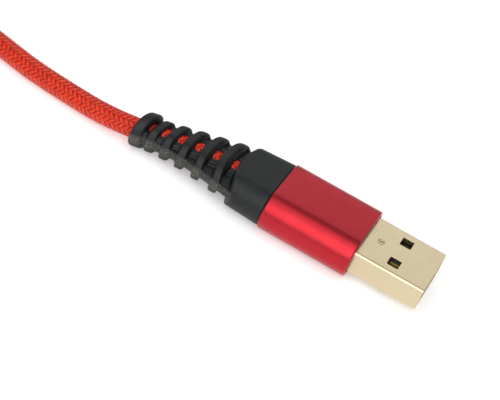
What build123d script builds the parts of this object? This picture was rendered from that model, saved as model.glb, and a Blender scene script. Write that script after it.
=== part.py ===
from build123d import *

import os
from math import atan2, pi, radians, sqrt, tan

# Charging cable: a USB-A plug, a braided cord with its spare length in a tied hank,
# and a USB-C plug that lies on the hank. The origin is under the middle of the USB-A
# plug, on the surface that it lies on. +X runs along that plug to its tip, +Y across
# it, +Z up.

# ---- shared by both plugs -------------------------------------------------------
SLEEVE_WALL = 0.7
SLEEVE_BEVEL = 0.25
FIT = 0.05
SHEET = 0.3
WIRE_DIAMETER = 0.9
WIRE_SPREAD = 0.55
WIRE_GAP = 0.25
DRAIN_DIAMETER = 0.5
DRAIN_REAR_HEIGHT = 1.3
MOULD_SETBACK = 0.3

# ---- strain relief --------------------------------------------------------------
BLOCK_STEP = 0.5
BLOCK_LENGTH = 6.2
BLOCK_TAPER = 0.5
BOW_RADIUS = 15.0
HOOP_COUNT = 5
HOOP_THICKNESS = 1.5
HOOP_EDGE = 0.4
FIRST_HOOP = 3.0
HOOP_PITCH = 3.9
PITCH_CLOSING = 0.14
WIDTH_TAPER = 1.25
HEIGHT_TAPER = 1.5
HOOP_LEAST_HEIGHT = 5.1
RAIL_HEIGHT = 1.6
CORE_WIDTH = 5.2
CORE_HEIGHT = 3.0
RAIL_INSET = 0.35
LEAST_WIDTH = 6.0
COLLAR_FRONT = 18.1
COLLAR_LENGTH = 1.9
COLLAR_DIAMETER = 6.9
COLLAR_RISE = 0.4
BORE_CLEARANCE = 0.3
WIRE_HOLE_RADIUS = 2.25
SPIGOT_LENGTH = 2.3

# ---- cord -----------------------------------------------------------------------
CORD_DIAMETER = 3.8
TURN_PITCH = 3.9
TURNS_ACROSS = 2
LAYERS = 2
FOLD_RADIUS = 14.05
HANK_RUN = 54.6
HANK_X = -106.3
HANK_Y = -14.4
LEAD_STUB = 12.5
TAIL_STUB = 5.0
HANK_LIFT = 0.05
HANK_CORNER = 1.5
TIE_WIDTH = 12.0
TIE_THICKNESS = 0.7
TIE_GAP = 0.4

# ---- USB-A plug, depths measured back from the tip ------------------------------
A_TIP_X = 28.275
A_SHELL_WIDTH = 12.0
A_SHELL_HEIGHT = 4.5
A_SHELL_LENGTH = 18.75
A_SHELL_CORNER = 0.55
A_EXPOSED = 12.9
A_SLEEVE_WIDTH = 15.7
A_SLEEVE_HEIGHT = 7.5
A_SLEEVE_LENGTH = 16.85
A_WINDOW_DEPTH = 6.63
A_WINDOW_LENGTH = 2.07
A_WINDOW_WIDTH = 2.24
A_WINDOW_SIDE = 3.1
A_DIMPLE_DEPTH = 10.4
A_DIMPLE_RADIUS = 1.6
A_DIMPLE_SINK = 0.16
A_SEAM = 0.1
A_TONGUE_FRONT = 0.9
A_TONGUE_HEIGHT = 1.85
A_CARRIER_FRONT = 12.6
A_CARRIER_REAR = 18.3
A_CONTACT_WIDTH = 1.0
A_CONTACT_THICKNESS = 0.25
A_CONTACT_PROUD = 0.05
A_CONTACT_REAR = 20.5
A_CONTACT_NOSE = 0.15
A_POWER_SIDE = 3.5
A_DATA_SIDE = 1.0
A_POWER_FRONT = 1.9
A_DATA_FRONT = 2.9
A_SWAY = 1.85
A_DROOP = 0.7
A_DRAIN_HEIGHT = 1.5
A_ROOM = (9.0, 3.6)

# ---- USB-C plug, depths measured back from the tip ------------------------------
C_SHELL_WIDTH = 8.25
C_SHELL_HEIGHT = 2.4
C_SHELL_LENGTH = 10.4
C_SHELL_WALL = 0.2
C_EXPOSED = 6.65
C_SLEEVE_WIDTH = 12.4
C_SLEEVE_HEIGHT = 6.5
C_SLEEVE_LENGTH = 17.5
C_HOUSING_HEIGHT = 1.7
C_MOUTH_WIDTH = 6.75
C_MOUTH_HEIGHT = 0.9
C_MOUTH_DEPTH = 6.2
C_HOUSING_REAR = 10.2
C_CONTACT_PITCH = 0.5
C_CONTACT_WIDTH = 0.25
C_CONTACT_THICKNESS = 0.12
C_CONTACT_LEVEL = 0.45
C_CONTACT_FRONT = 1.3
C_CONTACT_REAR = 12.0
C_ROW_PLACES = 12
C_UPPER_PLACES = (0, 3, 4, 5, 6, 8, 11)
C_LOWER_PLACES = (0, 3, 4, 8, 11)
C_LATCH_THICKNESS = 0.3
C_LATCH_SIDE = 3.55
C_LATCH_WIDTH = 0.3
C_LATCH_FRONT = 1.5
C_PAD_LENGTH = 3.0
C_PAD_WIDTH = 5.0
C_PAD_THICKNESS = 0.08
C_BOARD_FRONT = 10.5
C_BOARD_REAR = 17.5
C_BOARD_WIDTH = 8.4
C_BOARD_THICKNESS = 0.8
C_RESISTOR = (1.0, 0.5, 0.35)
C_RESISTOR_DEPTH = 14.5
C_WIRE_SIDES = (3.0, 1.0, -1.0, -3.0)
C_DRAIN_HEIGHT = 1.1
C_ROOM = (8.6, 3.4)
C_TIP_X = -149.75

# ---- worked out -----------------------------------------------------------------
CORD_RADIUS = CORD_DIAMETER / 2
BORE_RADIUS = (CORD_DIAMETER + BORE_CLEARANCE) / 2
A_SLEEVE_REAR = A_EXPOSED + A_SLEEVE_LENGTH
C_SLEEVE_REAR = C_EXPOSED + C_SLEEVE_LENGTH


def hoop_run(number):
    """Distance of a hoop's ends behind the block; the rails end one more than the last hoop."""
    step = number - 1
    return FIRST_HOOP + HOOP_PITCH * step - PITCH_CLOSING * step**2


SLOTTED_LENGTH = hoop_run(HOOP_COUNT + 1)
A_AXIS_Z = A_SLEEVE_HEIGHT / 2
HANK_HEIGHT = TURN_PITCH * LAYERS
HANK_HALF_WIDTH = TURN_PITCH * TURNS_ACROSS / 2
OUTER_FOLD = FOLD_RADIUS + TURN_PITCH * (TURNS_ACROSS - 1) / 2
HANK_TOP = HANK_LIFT + HANK_HEIGHT
HANK_START_X = HANK_X + HANK_RUN / 2
CORD_Y = HANK_Y + OUTER_FOLD
TAIL_Z = HANK_TOP + FIT + CORD_RADIUS
C_AXIS_Z = HANK_TOP + FIT + C_SLEEVE_HEIGHT / 2

a_tip = Plane(origin=(A_TIP_X, 0, A_AXIS_Z), x_dir=(1, 0, 0), z_dir=(0, 0, 1))
c_tip = Plane(origin=(C_TIP_X, CORD_Y, C_AXIS_Z), x_dir=(-1, 0, 0), z_dir=(0, 0, 1))

os.makedirs("parts", exist_ok=True)


def back(tip, depth, side=0, drop=0, yaw=0):
    """Level plane at a depth behind a plug's tip, its X still pointing to the tip."""
    return Plane(tip.location * Pos(-depth, side, -drop) * Rot(0, 0, yaw))


def across(plane):
    """Plane through the same point, square to the plug's length and facing the cord."""
    return Plane(origin=plane.origin, x_dir=plane.y_dir, z_dir=-plane.x_dir)


# ---- the cord's route -----------------------------------------------------------
# The lead runs from inside the first strain relief, down to the surface and on to the
# hank; the tail comes off the top of the hank and ends inside the other strain relief.
LEAD_ROUTE = [
    (A_TIP_X - A_SLEEVE_REAR, 0.0, A_AXIS_Z),
    (-9.5, 0.0, A_AXIS_Z),
    (-18.0, -0.48, 3.57),
    (-27.0, -2.0, 3.06),
    (-34.5, -2.35, 2.3),
    (-42.0, -1.55, CORD_RADIUS),
    (-50.0, -0.85, CORD_RADIUS),
    (-55.8, 0.4, CORD_RADIUS),
    (-61.2, CORD_Y, CORD_RADIUS),
    (HANK_START_X + LEAD_STUB, CORD_Y, CORD_RADIUS),
]
TAIL_ROUTE = [
    (HANK_START_X - TAIL_STUB, CORD_Y, TAIL_Z),
    (-89.0, CORD_Y, TAIL_Z),
    (-95.5, CORD_Y, C_AXIS_Z),
    (-105.0, CORD_Y + 0.06, C_AXIS_Z),
    (-115.4, CORD_Y, C_AXIS_Z),
    (C_TIP_X + C_SLEEVE_REAR, CORD_Y, C_AXIS_Z),
]


def corner_radii(points):
    """As large an arc at each corner of a route as the two runs beside it allow."""
    runs = [far - near for near, far in zip(points, points[1:])]
    radii = []
    for before, after in zip(runs, runs[1:]):
        half_turn = radians(before.get_angle(after)) / 2
        radii.append(0.45 * min(before.length, after.length) / tan(half_turn))
    return radii


def along_route(route, radius):
    """Round bar along a route of the cord: straight runs joined by tangent arcs."""
    points = [Vector(*point) for point in route]
    with BuildLine() as line:
        FilletPolyline(*points, radius=corner_radii(points))
    path = line.wire()
    with BuildPart() as bar:
        with BuildSketch(Plane(origin=path @ 0, z_dir=path % 0)):
            Circle(radius)
        sweep(path=path)
    return bar.part, path.length


# ---- pieces that both plugs have ------------------------------------------------
def sleeve(label, tip, front, length, width, height):
    """Anodised tube with flat faces and fully rounded sides, open at both ends."""
    with BuildPart() as tube:
        with BuildSketch(across(back(tip, front))):
            SlotOverall(width, height)
            SlotOverall(width - 2 * SLEEVE_WALL, height - 2 * SLEEVE_WALL, mode=Mode.SUBTRACT)
        extrude(amount=length)
        ends = tube.faces().filter_by(Axis.X)
        rims = [face.outer_wire().edges() for face in ends]
        chamfer([edge for rim in rims for edge in rim], length=SLEEVE_BEVEL)
    tube.part.label = label
    export_step(tube.part, f"parts/{label}.step")
    return tube.part


def inner_mould(label, tip, front, rear, width, height, shell_size, shell_rear, room):
    """Hard plastic filling between shell and sleeve, hollow where the joints and wires are."""
    bore_width = width - 2 * SLEEVE_WALL - 2 * FIT
    bore_height = height - 2 * SLEEVE_WALL - 2 * FIT
    with BuildPart() as mould:
        with BuildSketch(across(back(tip, front))):
            SlotOverall(bore_width, bore_height)
        extrude(amount=rear - front)
        with BuildSketch(across(back(tip, front))):
            Rectangle(shell_size[0] + 2 * FIT, shell_size[1] + 2 * FIT)
        extrude(amount=shell_rear + FIT - front, mode=Mode.SUBTRACT)
        with BuildSketch(across(back(tip, front))):
            Rectangle(room[0], room[1])
        extrude(amount=rear - front, mode=Mode.SUBTRACT)
    mould.part.label = label
    export_step(mould.part, f"parts/{label}.step")
    return mould.part


def relief_size(run, width, height):
    """Width and height of the strain relief at a run behind its block."""
    left = 1 - run / SLOTTED_LENGTH
    wide = LEAST_WIDTH + (width - LEAST_WIDTH) * left**WIDTH_TAPER
    high = HOOP_LEAST_HEIGHT + (height - HOOP_LEAST_HEIGHT) * left**HEIGHT_TAPER
    return wide, high


def relief_plane(tip, block_rear, run, sway, droop):
    """Level plane on the bent centre line of the strain relief."""
    bend = (run / SLOTTED_LENGTH) ** 2
    slope = 2 * sway * run / SLOTTED_LENGTH**2
    return back(tip, block_rear + run, -sway * bend, droop * bend, slope * 180 / pi)


def bowed_hoop(plane, width, height):
    """Flat-sided ring that bows towards the cord, seen from above."""
    middle = sqrt(BOW_RADIUS**2 - (width / 2) ** 2)
    with BuildPart() as hoop:
        with BuildSketch(across(plane)):
            SlotOverall(width, height)
        extrude(amount=BOW_RADIUS - middle + HOOP_THICKNESS, both=True)
        with BuildSketch(plane.offset(-height)):
            with Locations((middle, 0)):
                Circle(BOW_RADIUS + HOOP_THICKNESS / 2)
                Circle(BOW_RADIUS - HOOP_THICKNESS / 2, mode=Mode.SUBTRACT)
        extrude(amount=2 * height, mode=Mode.INTERSECT)
        fillet(hoop.edges(), radius=HOOP_EDGE)
    return hoop.part


def domed_block(tip, front, width, height):
    """Solid front of the strain relief, tapered, with a rounded back seen from above."""
    rear_width = width - BLOCK_TAPER * 2
    rear_height = height - BLOCK_TAPER
    rear = front + BLOCK_LENGTH
    crown = BOW_RADIUS - sqrt(BOW_RADIUS**2 - (rear_width / 2) ** 2)
    with BuildPart() as block:
        with BuildSketch(across(back(tip, front))):
            SlotOverall(width, height)
        with BuildSketch(across(back(tip, rear + crown))):
            SlotOverall(rear_width, rear_height)
        loft()
        with BuildSketch(back(tip, rear + crown - BOW_RADIUS).offset(-height)):
            Circle(BOW_RADIUS)
        extrude(amount=2 * height, mode=Mode.INTERSECT)
    return block.part


def strain_relief(label, tip, route, sleeve_rear, sleeve_width, sleeve_height, sway, droop):
    """Rubbery boot: spigot, block, bowed hoops on side rails, a core round the cord, end collar."""
    width = sleeve_width - BLOCK_STEP
    height = sleeve_height - BLOCK_STEP
    rear_width = width - BLOCK_TAPER * 2
    rear_height = height - BLOCK_TAPER
    spigot_width = sleeve_width - 2 * SLEEVE_WALL - 2 * FIT
    spigot_height = sleeve_height - 2 * SLEEVE_WALL - 2 * FIT
    block_rear = sleeve_rear + BLOCK_LENGTH
    runs = [0] + [hoop_run(number) for number in range(1, HOOP_COUNT + 2)]
    planes = [relief_plane(tip, block_rear, run, sway, droop) for run in runs]
    sizes = [relief_size(run, rear_width, rear_height) for run in runs]
    block = domed_block(tip, sleeve_rear, width, height)
    hoops = [bowed_hoop(plane, *size) for plane, size in zip(planes[1:-1], sizes[1:-1])]
    bore, _ = along_route(route, BORE_RADIUS)
    tilt = atan2(droop, SLOTTED_LENGTH) * 180 / pi
    left_edge = []
    right_edge = []
    core_left = []
    core_right = []
    for run, size in zip(runs, sizes):
        middle = -sway * (run / SLOTTED_LENGTH) ** 2
        left_edge.append((-run, middle + size[0] / 2 - RAIL_INSET))
        right_edge.append((-run, middle - size[0] / 2 + RAIL_INSET))
        core_left.append((-run, middle + CORE_WIDTH / 2))
        core_right.append((-run, middle - CORE_WIDTH / 2))
    with BuildPart() as boot:
        add(block)
        add(hoops)
        with BuildSketch(across(back(tip, sleeve_rear - SPIGOT_LENGTH))):
            SlotOverall(spigot_width, spigot_height)
        extrude(amount=SPIGOT_LENGTH)
        with BuildSketch(Plane(back(tip, block_rear).location * Rot(0, -tilt, 0))):
            Polygon(*left_edge, *reversed(right_edge), align=None)
        extrude(amount=RAIL_HEIGHT / 2, both=True)
        with BuildSketch(Plane(back(tip, block_rear).location * Rot(0, -tilt, 0))):
            Polygon(*core_left, *reversed(core_right), align=None)
        extrude(amount=CORE_HEIGHT / 2, both=True)
        with BuildSketch(across(relief_plane(tip, block_rear, COLLAR_FRONT, sway, droop))):
            with Locations((0, -COLLAR_RISE)):
                Circle(COLLAR_DIAMETER / 2)
        extrude(amount=COLLAR_LENGTH)
        add(bore, mode=Mode.SUBTRACT)
        with BuildSketch(across(back(tip, sleeve_rear - SPIGOT_LENGTH))):
            Circle(WIRE_HOLE_RADIUS)
        extrude(amount=SPIGOT_LENGTH + WIRE_GAP, mode=Mode.SUBTRACT)
    boot.part.label = label
    export_step(boot.part, f"parts/{label}.step")
    return boot.part


def straight_wire(label, start, finish, diameter):
    """Insulated wire, pulled straight between its joint and the end of the cord."""
    with BuildPart() as wire:
        with BuildSketch(Plane(origin=start, z_dir=finish - start)):
            Circle(diameter / 2)
        extrude(amount=(finish - start).length)
    wire.part.label = label
    export_step(wire.part, f"parts/{label}.step")
    return wire.part


def wires(prefix, tip, joint_depth, joint_sides, joint_height, cord_depth):
    """Four wires from a plug's joints to the cord: power above, data below."""
    ends = {
        "power_wire": (joint_sides[0], WIRE_SPREAD, WIRE_SPREAD),
        "data_minus_wire": (joint_sides[1], WIRE_SPREAD, -WIRE_SPREAD),
        "data_plus_wire": (joint_sides[2], -WIRE_SPREAD, -WIRE_SPREAD),
        "ground_wire": (joint_sides[3], -WIRE_SPREAD, WIRE_SPREAD),
    }
    for name, (joint_side, cord_side, cord_height) in ends.items():
        start = tip.from_local_coords(Vector(-joint_depth, joint_side, joint_height))
        finish = tip.from_local_coords(Vector(WIRE_GAP - cord_depth, cord_side, cord_height))
        straight_wire(f"{prefix}_{name}", start, finish, WIRE_DIAMETER)


# ---- USB-A plug -----------------------------------------------------------------
with BuildPart() as usb_a_shell:
    with BuildSketch(across(a_tip)):
        RectangleRounded(A_SHELL_WIDTH, A_SHELL_HEIGHT, A_SHELL_CORNER)
        RectangleRounded(
            A_SHELL_WIDTH - 2 * SHEET,
            A_SHELL_HEIGHT - 2 * SHEET,
            A_SHELL_CORNER - SHEET,
            mode=Mode.SUBTRACT,
        )
    extrude(amount=A_SHELL_LENGTH)
    with BuildSketch(back(a_tip, A_WINDOW_DEPTH)):
        with Locations((0, A_WINDOW_SIDE), (0, -A_WINDOW_SIDE)):
            Rectangle(A_WINDOW_LENGTH, A_WINDOW_WIDTH)
    extrude(amount=A_SHELL_HEIGHT, both=True, mode=Mode.SUBTRACT)
    with BuildSketch(back(a_tip, A_SHELL_LENGTH / 2)):
        Rectangle(A_SHELL_LENGTH, A_SEAM)
    extrude(amount=-A_SHELL_HEIGHT, mode=Mode.SUBTRACT)
    with Locations(back(a_tip, A_DIMPLE_DEPTH, 0, A_DIMPLE_SINK - A_SHELL_HEIGHT / 2 - A_DIMPLE_RADIUS)):
        Sphere(A_DIMPLE_RADIUS, mode=Mode.SUBTRACT)
usb_a_shell.part.label = "usb_a_shell"
export_step(usb_a_shell.part, "parts/usb_a_shell.step")

A_TONGUE_WIDTH = A_SHELL_WIDTH - 2 * SHEET - 2 * FIT
A_TONGUE_FLOOR = -A_SHELL_HEIGHT / 2 + SHEET + FIT
A_TONGUE_TOP = A_TONGUE_FLOOR + A_TONGUE_HEIGHT
A_CARRIER_TOP = A_SHELL_HEIGHT / 2 - SHEET - FIT
A_GROOVE_FLOOR = A_TONGUE_TOP + A_CONTACT_PROUD - A_CONTACT_THICKNESS
A_CONTACTS = {
    "usb_a_power_contact": (A_POWER_SIDE, A_POWER_FRONT),
    "usb_a_data_minus_contact": (A_DATA_SIDE, A_DATA_FRONT),
    "usb_a_data_plus_contact": (-A_DATA_SIDE, A_DATA_FRONT),
    "usb_a_ground_contact": (-A_POWER_SIDE, A_POWER_FRONT),
}

with BuildPart() as usb_a_tongue:
    with BuildSketch(back(a_tip, (A_TONGUE_FRONT + A_CARRIER_REAR) / 2).offset(A_TONGUE_FLOOR)):
        Rectangle(A_CARRIER_REAR - A_TONGUE_FRONT, A_TONGUE_WIDTH)
    extrude(amount=A_TONGUE_HEIGHT)
    with BuildSketch(back(a_tip, (A_CARRIER_FRONT + A_CARRIER_REAR) / 2).offset(A_TONGUE_FLOOR)):
        Rectangle(A_CARRIER_REAR - A_CARRIER_FRONT, A_TONGUE_WIDTH)
    extrude(amount=A_CARRIER_TOP - A_TONGUE_FLOOR)
    long_edges = usb_a_tongue.edges().filter_by(Axis.X).group_by(Axis.Y)
    chamfer(long_edges[0] + long_edges[-1], length=A_SHELL_CORNER - SHEET)
    for side, front in A_CONTACTS.values():
        with BuildSketch(back(a_tip, (front + A_CARRIER_REAR) / 2, side).offset(A_GROOVE_FLOOR)):
            Rectangle(A_CARRIER_REAR - front + FIT, A_CONTACT_WIDTH + 2 * FIT)
        extrude(amount=A_CONTACT_THICKNESS + FIT, mode=Mode.SUBTRACT)
usb_a_tongue.part.label = "usb_a_tongue"
export_step(usb_a_tongue.part, "parts/usb_a_tongue.step")

for contact_name, (side, front) in A_CONTACTS.items():
    with BuildPart() as contact:
        with BuildSketch(back(a_tip, (front + A_CONTACT_REAR) / 2, side).offset(A_GROOVE_FLOOR)):
            Rectangle(A_CONTACT_REAR - front, A_CONTACT_WIDTH)
        extrude(amount=A_CONTACT_THICKNESS)
        nose = contact.edges().filter_by(Axis.Y).group_by(Axis.X)[-1].sort_by(Axis.Z)[-1]
        fillet(nose, radius=A_CONTACT_NOSE)
    contact.part.label = contact_name
    export_step(contact.part, f"parts/{contact_name}.step")

wires(
    "usb_a",
    a_tip,
    A_CONTACT_REAR + FIT,
    (A_POWER_SIDE, A_DATA_SIDE, -A_DATA_SIDE, -A_POWER_SIDE),
    A_GROOVE_FLOOR + A_CONTACT_THICKNESS / 2,
    A_SLEEVE_REAR,
)
straight_wire(
    "usb_a_drain_wire",
    a_tip.from_local_coords(Vector(-A_SHELL_LENGTH - 3 * FIT, 0, A_DRAIN_HEIGHT)),
    a_tip.from_local_coords(Vector(WIRE_GAP - A_SLEEVE_REAR, 0, DRAIN_REAR_HEIGHT)),
    DRAIN_DIAMETER,
)
inner_mould(
    "usb_a_inner_mould",
    a_tip,
    A_EXPOSED + MOULD_SETBACK,
    A_SLEEVE_REAR - SPIGOT_LENGTH - FIT,
    A_SLEEVE_WIDTH,
    A_SLEEVE_HEIGHT,
    (A_SHELL_WIDTH, A_SHELL_HEIGHT),
    A_SHELL_LENGTH,
    A_ROOM,
)
sleeve("usb_a_sleeve", a_tip, A_EXPOSED, A_SLEEVE_LENGTH, A_SLEEVE_WIDTH, A_SLEEVE_HEIGHT)
strain_relief(
    "usb_a_strain_relief",
    a_tip,
    LEAD_ROUTE,
    A_SLEEVE_REAR,
    A_SLEEVE_WIDTH,
    A_SLEEVE_HEIGHT,
    A_SWAY,
    A_DROOP,
)

# ---- USB-C plug -----------------------------------------------------------------
with BuildPart() as usb_c_shell:
    with BuildSketch(across(c_tip)):
        SlotOverall(C_SHELL_WIDTH, C_SHELL_HEIGHT)
        SlotOverall(
            C_SHELL_WIDTH - 2 * C_SHELL_WALL,
            C_SHELL_HEIGHT - 2 * C_SHELL_WALL,
            mode=Mode.SUBTRACT,
        )
    extrude(amount=C_SHELL_LENGTH)
usb_c_shell.part.label = "usb_c_shell"
export_step(usb_c_shell.part, "parts/usb_c_shell.step")

C_HOUSING_WIDTH = C_SHELL_WIDTH - 2 * C_SHELL_WALL - 2 * FIT
C_PAD_LEVEL = C_HOUSING_HEIGHT / 2 + FIT / 2

with BuildPart() as usb_c_housing:
    with BuildSketch(across(back(c_tip, FIT))):
        SlotOverall(C_HOUSING_WIDTH, C_HOUSING_HEIGHT)
    extrude(amount=C_HOUSING_REAR - FIT)
    with BuildSketch(across(back(c_tip, FIT))):
        Rectangle(C_MOUTH_WIDTH, C_MOUTH_HEIGHT)
    extrude(amount=C_MOUTH_DEPTH, mode=Mode.SUBTRACT)
    for places, level in ((C_UPPER_PLACES, 1), (C_LOWER_PLACES, -1)):
        for place in places:
            side = (place - (C_ROW_PLACES - 1) / 2) * C_CONTACT_PITCH
            middle = (C_CONTACT_FRONT + C_HOUSING_REAR) / 2
            height = level * (C_CONTACT_LEVEL + C_CONTACT_THICKNESS / 2)
            with Locations(back(c_tip, middle, side, -height)):
                Box(
                    C_HOUSING_REAR - C_CONTACT_FRONT + 2 * FIT,
                    C_CONTACT_WIDTH + FIT,
                    C_CONTACT_THICKNESS + FIT,
                    mode=Mode.SUBTRACT,
                )
    for side in (-C_LATCH_SIDE, C_LATCH_SIDE):
        with Locations(back(c_tip, (C_LATCH_FRONT + C_HOUSING_REAR) / 2, side)):
            Box(
                C_HOUSING_REAR - C_LATCH_FRONT + 2 * FIT,
                C_LATCH_WIDTH + 2 * FIT,
                C_LATCH_THICKNESS + 2 * FIT,
                mode=Mode.SUBTRACT,
            )
usb_c_housing.part.label = "usb_c_housing"
export_step(usb_c_housing.part, "parts/usb_c_housing.step")

for row_name, places, level in (
    ("usb_c_upper_contacts", C_UPPER_PLACES, 1),
    ("usb_c_lower_contacts", C_LOWER_PLACES, -1),
):
    with BuildPart() as row:
        for place in places:
            side = (place - (C_ROW_PLACES - 1) / 2) * C_CONTACT_PITCH
            middle = (C_CONTACT_FRONT + C_CONTACT_REAR) / 2
            height = level * (C_CONTACT_LEVEL + C_CONTACT_THICKNESS / 2)
            with Locations(back(c_tip, middle, side, -height)):
                Box(C_CONTACT_REAR - C_CONTACT_FRONT, C_CONTACT_WIDTH, C_CONTACT_THICKNESS)
    row.part.label = row_name
    export_step(row.part, f"parts/{row_name}.step")

with BuildPart() as usb_c_latches:
    for side in (-C_LATCH_SIDE, C_LATCH_SIDE):
        with Locations(back(c_tip, (C_LATCH_FRONT + C_HOUSING_REAR) / 2, side)):
            Box(C_HOUSING_REAR - C_LATCH_FRONT, C_LATCH_WIDTH, C_LATCH_THICKNESS)
usb_c_latches.part.label = "usb_c_latches"
export_step(usb_c_latches.part, "parts/usb_c_latches.step")

with BuildPart() as usb_c_ground_springs:
    for level in (-1, 1):
        height = level * (C_PAD_LEVEL + C_PAD_THICKNESS / 2)
        with Locations(back(c_tip, C_CONTACT_FRONT + C_PAD_LENGTH / 2, 0, -height)):
            Box(C_PAD_LENGTH, C_PAD_WIDTH, C_PAD_THICKNESS)
usb_c_ground_springs.part.label = "usb_c_ground_springs"
export_step(usb_c_ground_springs.part, "parts/usb_c_ground_springs.step")

with BuildPart() as usb_c_board:
    with BuildSketch(back(c_tip, (C_BOARD_FRONT + C_BOARD_REAR) / 2)):
        RectangleRounded(C_BOARD_REAR - C_BOARD_FRONT, C_BOARD_WIDTH, C_BOARD_THICKNESS / 2)
    extrude(amount=C_BOARD_THICKNESS / 2, both=True)
usb_c_board.part.label = "usb_c_board"
export_step(usb_c_board.part, "parts/usb_c_board.step")

with BuildPart() as usb_c_resistor:
    with BuildSketch(back(c_tip, C_RESISTOR_DEPTH).offset(C_BOARD_THICKNESS / 2)):
        Rectangle(C_RESISTOR[0], C_RESISTOR[1])
    extrude(amount=C_RESISTOR[2])
usb_c_resistor.part.label = "usb_c_resistor"
export_step(usb_c_resistor.part, "parts/usb_c_resistor.step")

wires("usb_c", c_tip, C_BOARD_REAR + WIRE_GAP, C_WIRE_SIDES, 0, C_SLEEVE_REAR)
straight_wire(
    "usb_c_drain_wire",
    c_tip.from_local_coords(Vector(-C_SHELL_LENGTH - 2 * FIT, 0, C_DRAIN_HEIGHT)),
    c_tip.from_local_coords(Vector(WIRE_GAP - C_SLEEVE_REAR, 0, DRAIN_REAR_HEIGHT)),
    DRAIN_DIAMETER,
)
inner_mould(
    "usb_c_inner_mould",
    c_tip,
    C_EXPOSED + MOULD_SETBACK,
    C_SLEEVE_REAR - SPIGOT_LENGTH - FIT,
    C_SLEEVE_WIDTH,
    C_SLEEVE_HEIGHT,
    (C_SHELL_WIDTH, C_SHELL_HEIGHT),
    C_SHELL_LENGTH,
    C_ROOM,
)
sleeve("usb_c_sleeve", c_tip, C_EXPOSED, C_SLEEVE_LENGTH, C_SLEEVE_WIDTH, C_SLEEVE_HEIGHT)
strain_relief(
    "usb_c_strain_relief",
    c_tip,
    TAIL_ROUTE,
    C_SLEEVE_REAR,
    C_SLEEVE_WIDTH,
    C_SLEEVE_HEIGHT,
    0.0,
    0.0,
)


# ---- cord -----------------------------------------------------------------------
def cord_tube(label, route):
    """Free stretch of the cord as a plain tube."""
    tube, length = along_route(route, CORD_RADIUS)
    radii = corner_radii([Vector(*point) for point in route])
    print(label, "radii", [round(radius, 1) for radius in radii])
    volume_ratio = tube.volume / (pi * CORD_RADIUS**2 * length)
    print(label, "length", round(length, 1), "volume ratio", round(volume_ratio, 4))
    tube.label = label
    export_step(tube, f"parts/{label}.step")


cord_tube("cord_lead", LEAD_ROUTE)
cord_tube("cord_tail", TAIL_ROUTE)

NECK_LENGTH = TIE_WIDTH + 2 * TIE_GAP
tied_run = Plane(origin=(HANK_X, HANK_Y - FOLD_RADIUS, 0), x_dir=(0, 1, 0), z_dir=(1, 0, 0))

# The hank is a flat oblong coil: two runs joined by two folds. The plug lies on one run,
# and the other is raised by the tie's thickness where the tie goes under it.
with BuildPart() as cord_hank:
    with BuildSketch(Plane.XY.offset(HANK_LIFT)):
        with Locations((HANK_X, HANK_Y)):
            SlotCenterToCenter(HANK_RUN, 2 * (FOLD_RADIUS + HANK_HALF_WIDTH))
            SlotCenterToCenter(HANK_RUN, 2 * (FOLD_RADIUS - HANK_HALF_WIDTH), mode=Mode.SUBTRACT)
    extrude(amount=HANK_HEIGHT)
    fillet([edge for face in cord_hank.faces().filter_by(Axis.Z) for edge in face.edges()], HANK_CORNER)
    with Locations((HANK_X, HANK_Y - FOLD_RADIUS, 0)):
        Box(NECK_LENGTH, 4 * HANK_HALF_WIDTH, 4 * HANK_HEIGHT, mode=Mode.SUBTRACT)
    with BuildSketch(tied_run.offset(-NECK_LENGTH / 2)):
        with Locations((0, TIE_THICKNESS + FIT + HANK_HEIGHT / 2)):
            RectangleRounded(2 * HANK_HALF_WIDTH - 2 * FIT, HANK_HEIGHT - 2 * FIT, HANK_CORNER)
    extrude(amount=NECK_LENGTH)
    with BuildSketch(Plane(origin=(HANK_START_X + LEAD_STUB, CORD_Y, CORD_RADIUS), z_dir=(-1, 0, 0))):
        Circle(CORD_RADIUS)
    extrude(amount=LEAD_STUB)
    with BuildSketch(Plane(origin=(HANK_START_X, CORD_Y, TAIL_Z), x_dir=(0, 1, 0), z_dir=(-1, 0, 0))):
        Circle(CORD_RADIUS)
        with Locations((0, CORD_RADIUS)):
            Rectangle(CORD_DIAMETER, CORD_DIAMETER)
    extrude(amount=TAIL_STUB)
cord_hank.part.label = "cord_hank"
export_step(cord_hank.part, "parts/cord_hank.step")

with BuildPart() as cord_tie:
    with BuildSketch(tied_run.offset(-TIE_WIDTH / 2)):
        with Locations((0, TIE_THICKNESS + FIT + HANK_HEIGHT / 2)):
            RectangleRounded(
                2 * HANK_HALF_WIDTH + 2 * TIE_THICKNESS,
                HANK_HEIGHT + 2 * TIE_THICKNESS,
                HANK_CORNER + TIE_THICKNESS,
            )
            RectangleRounded(2 * HANK_HALF_WIDTH, HANK_HEIGHT, HANK_CORNER, mode=Mode.SUBTRACT)
    extrude(amount=TIE_WIDTH)
cord_tie.part.label = "cord_tie"
export_step(cord_tie.part, "parts/cord_tie.step")

turn_length = 2 * pi * FOLD_RADIUS + 2 * HANK_RUN
turns = TURNS_ACROSS * LAYERS
print("turns", turns, "length in turns", round(turns * turn_length, 1))
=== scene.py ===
# %% [markdown]
# # A braided charging cable
# This lesson dresses a finished CAD model of a charging cable: a USB-A plug in a red
# metal sleeve, a slotted rubber strain relief, a braided cord with its spare length in
# a tied hank, and a USB-C plug at the far end. The CAD model comes in as a fixed frame.
# Every visible surface is then either a CAD piece with a better material, or a finer
# mesh that stands in the same place.

from math import ceil, cos, hypot, pi, radians, sin, sqrt, tau

import bmesh
import bpy
import numpy as np
from mathutils import Matrix, Vector


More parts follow.
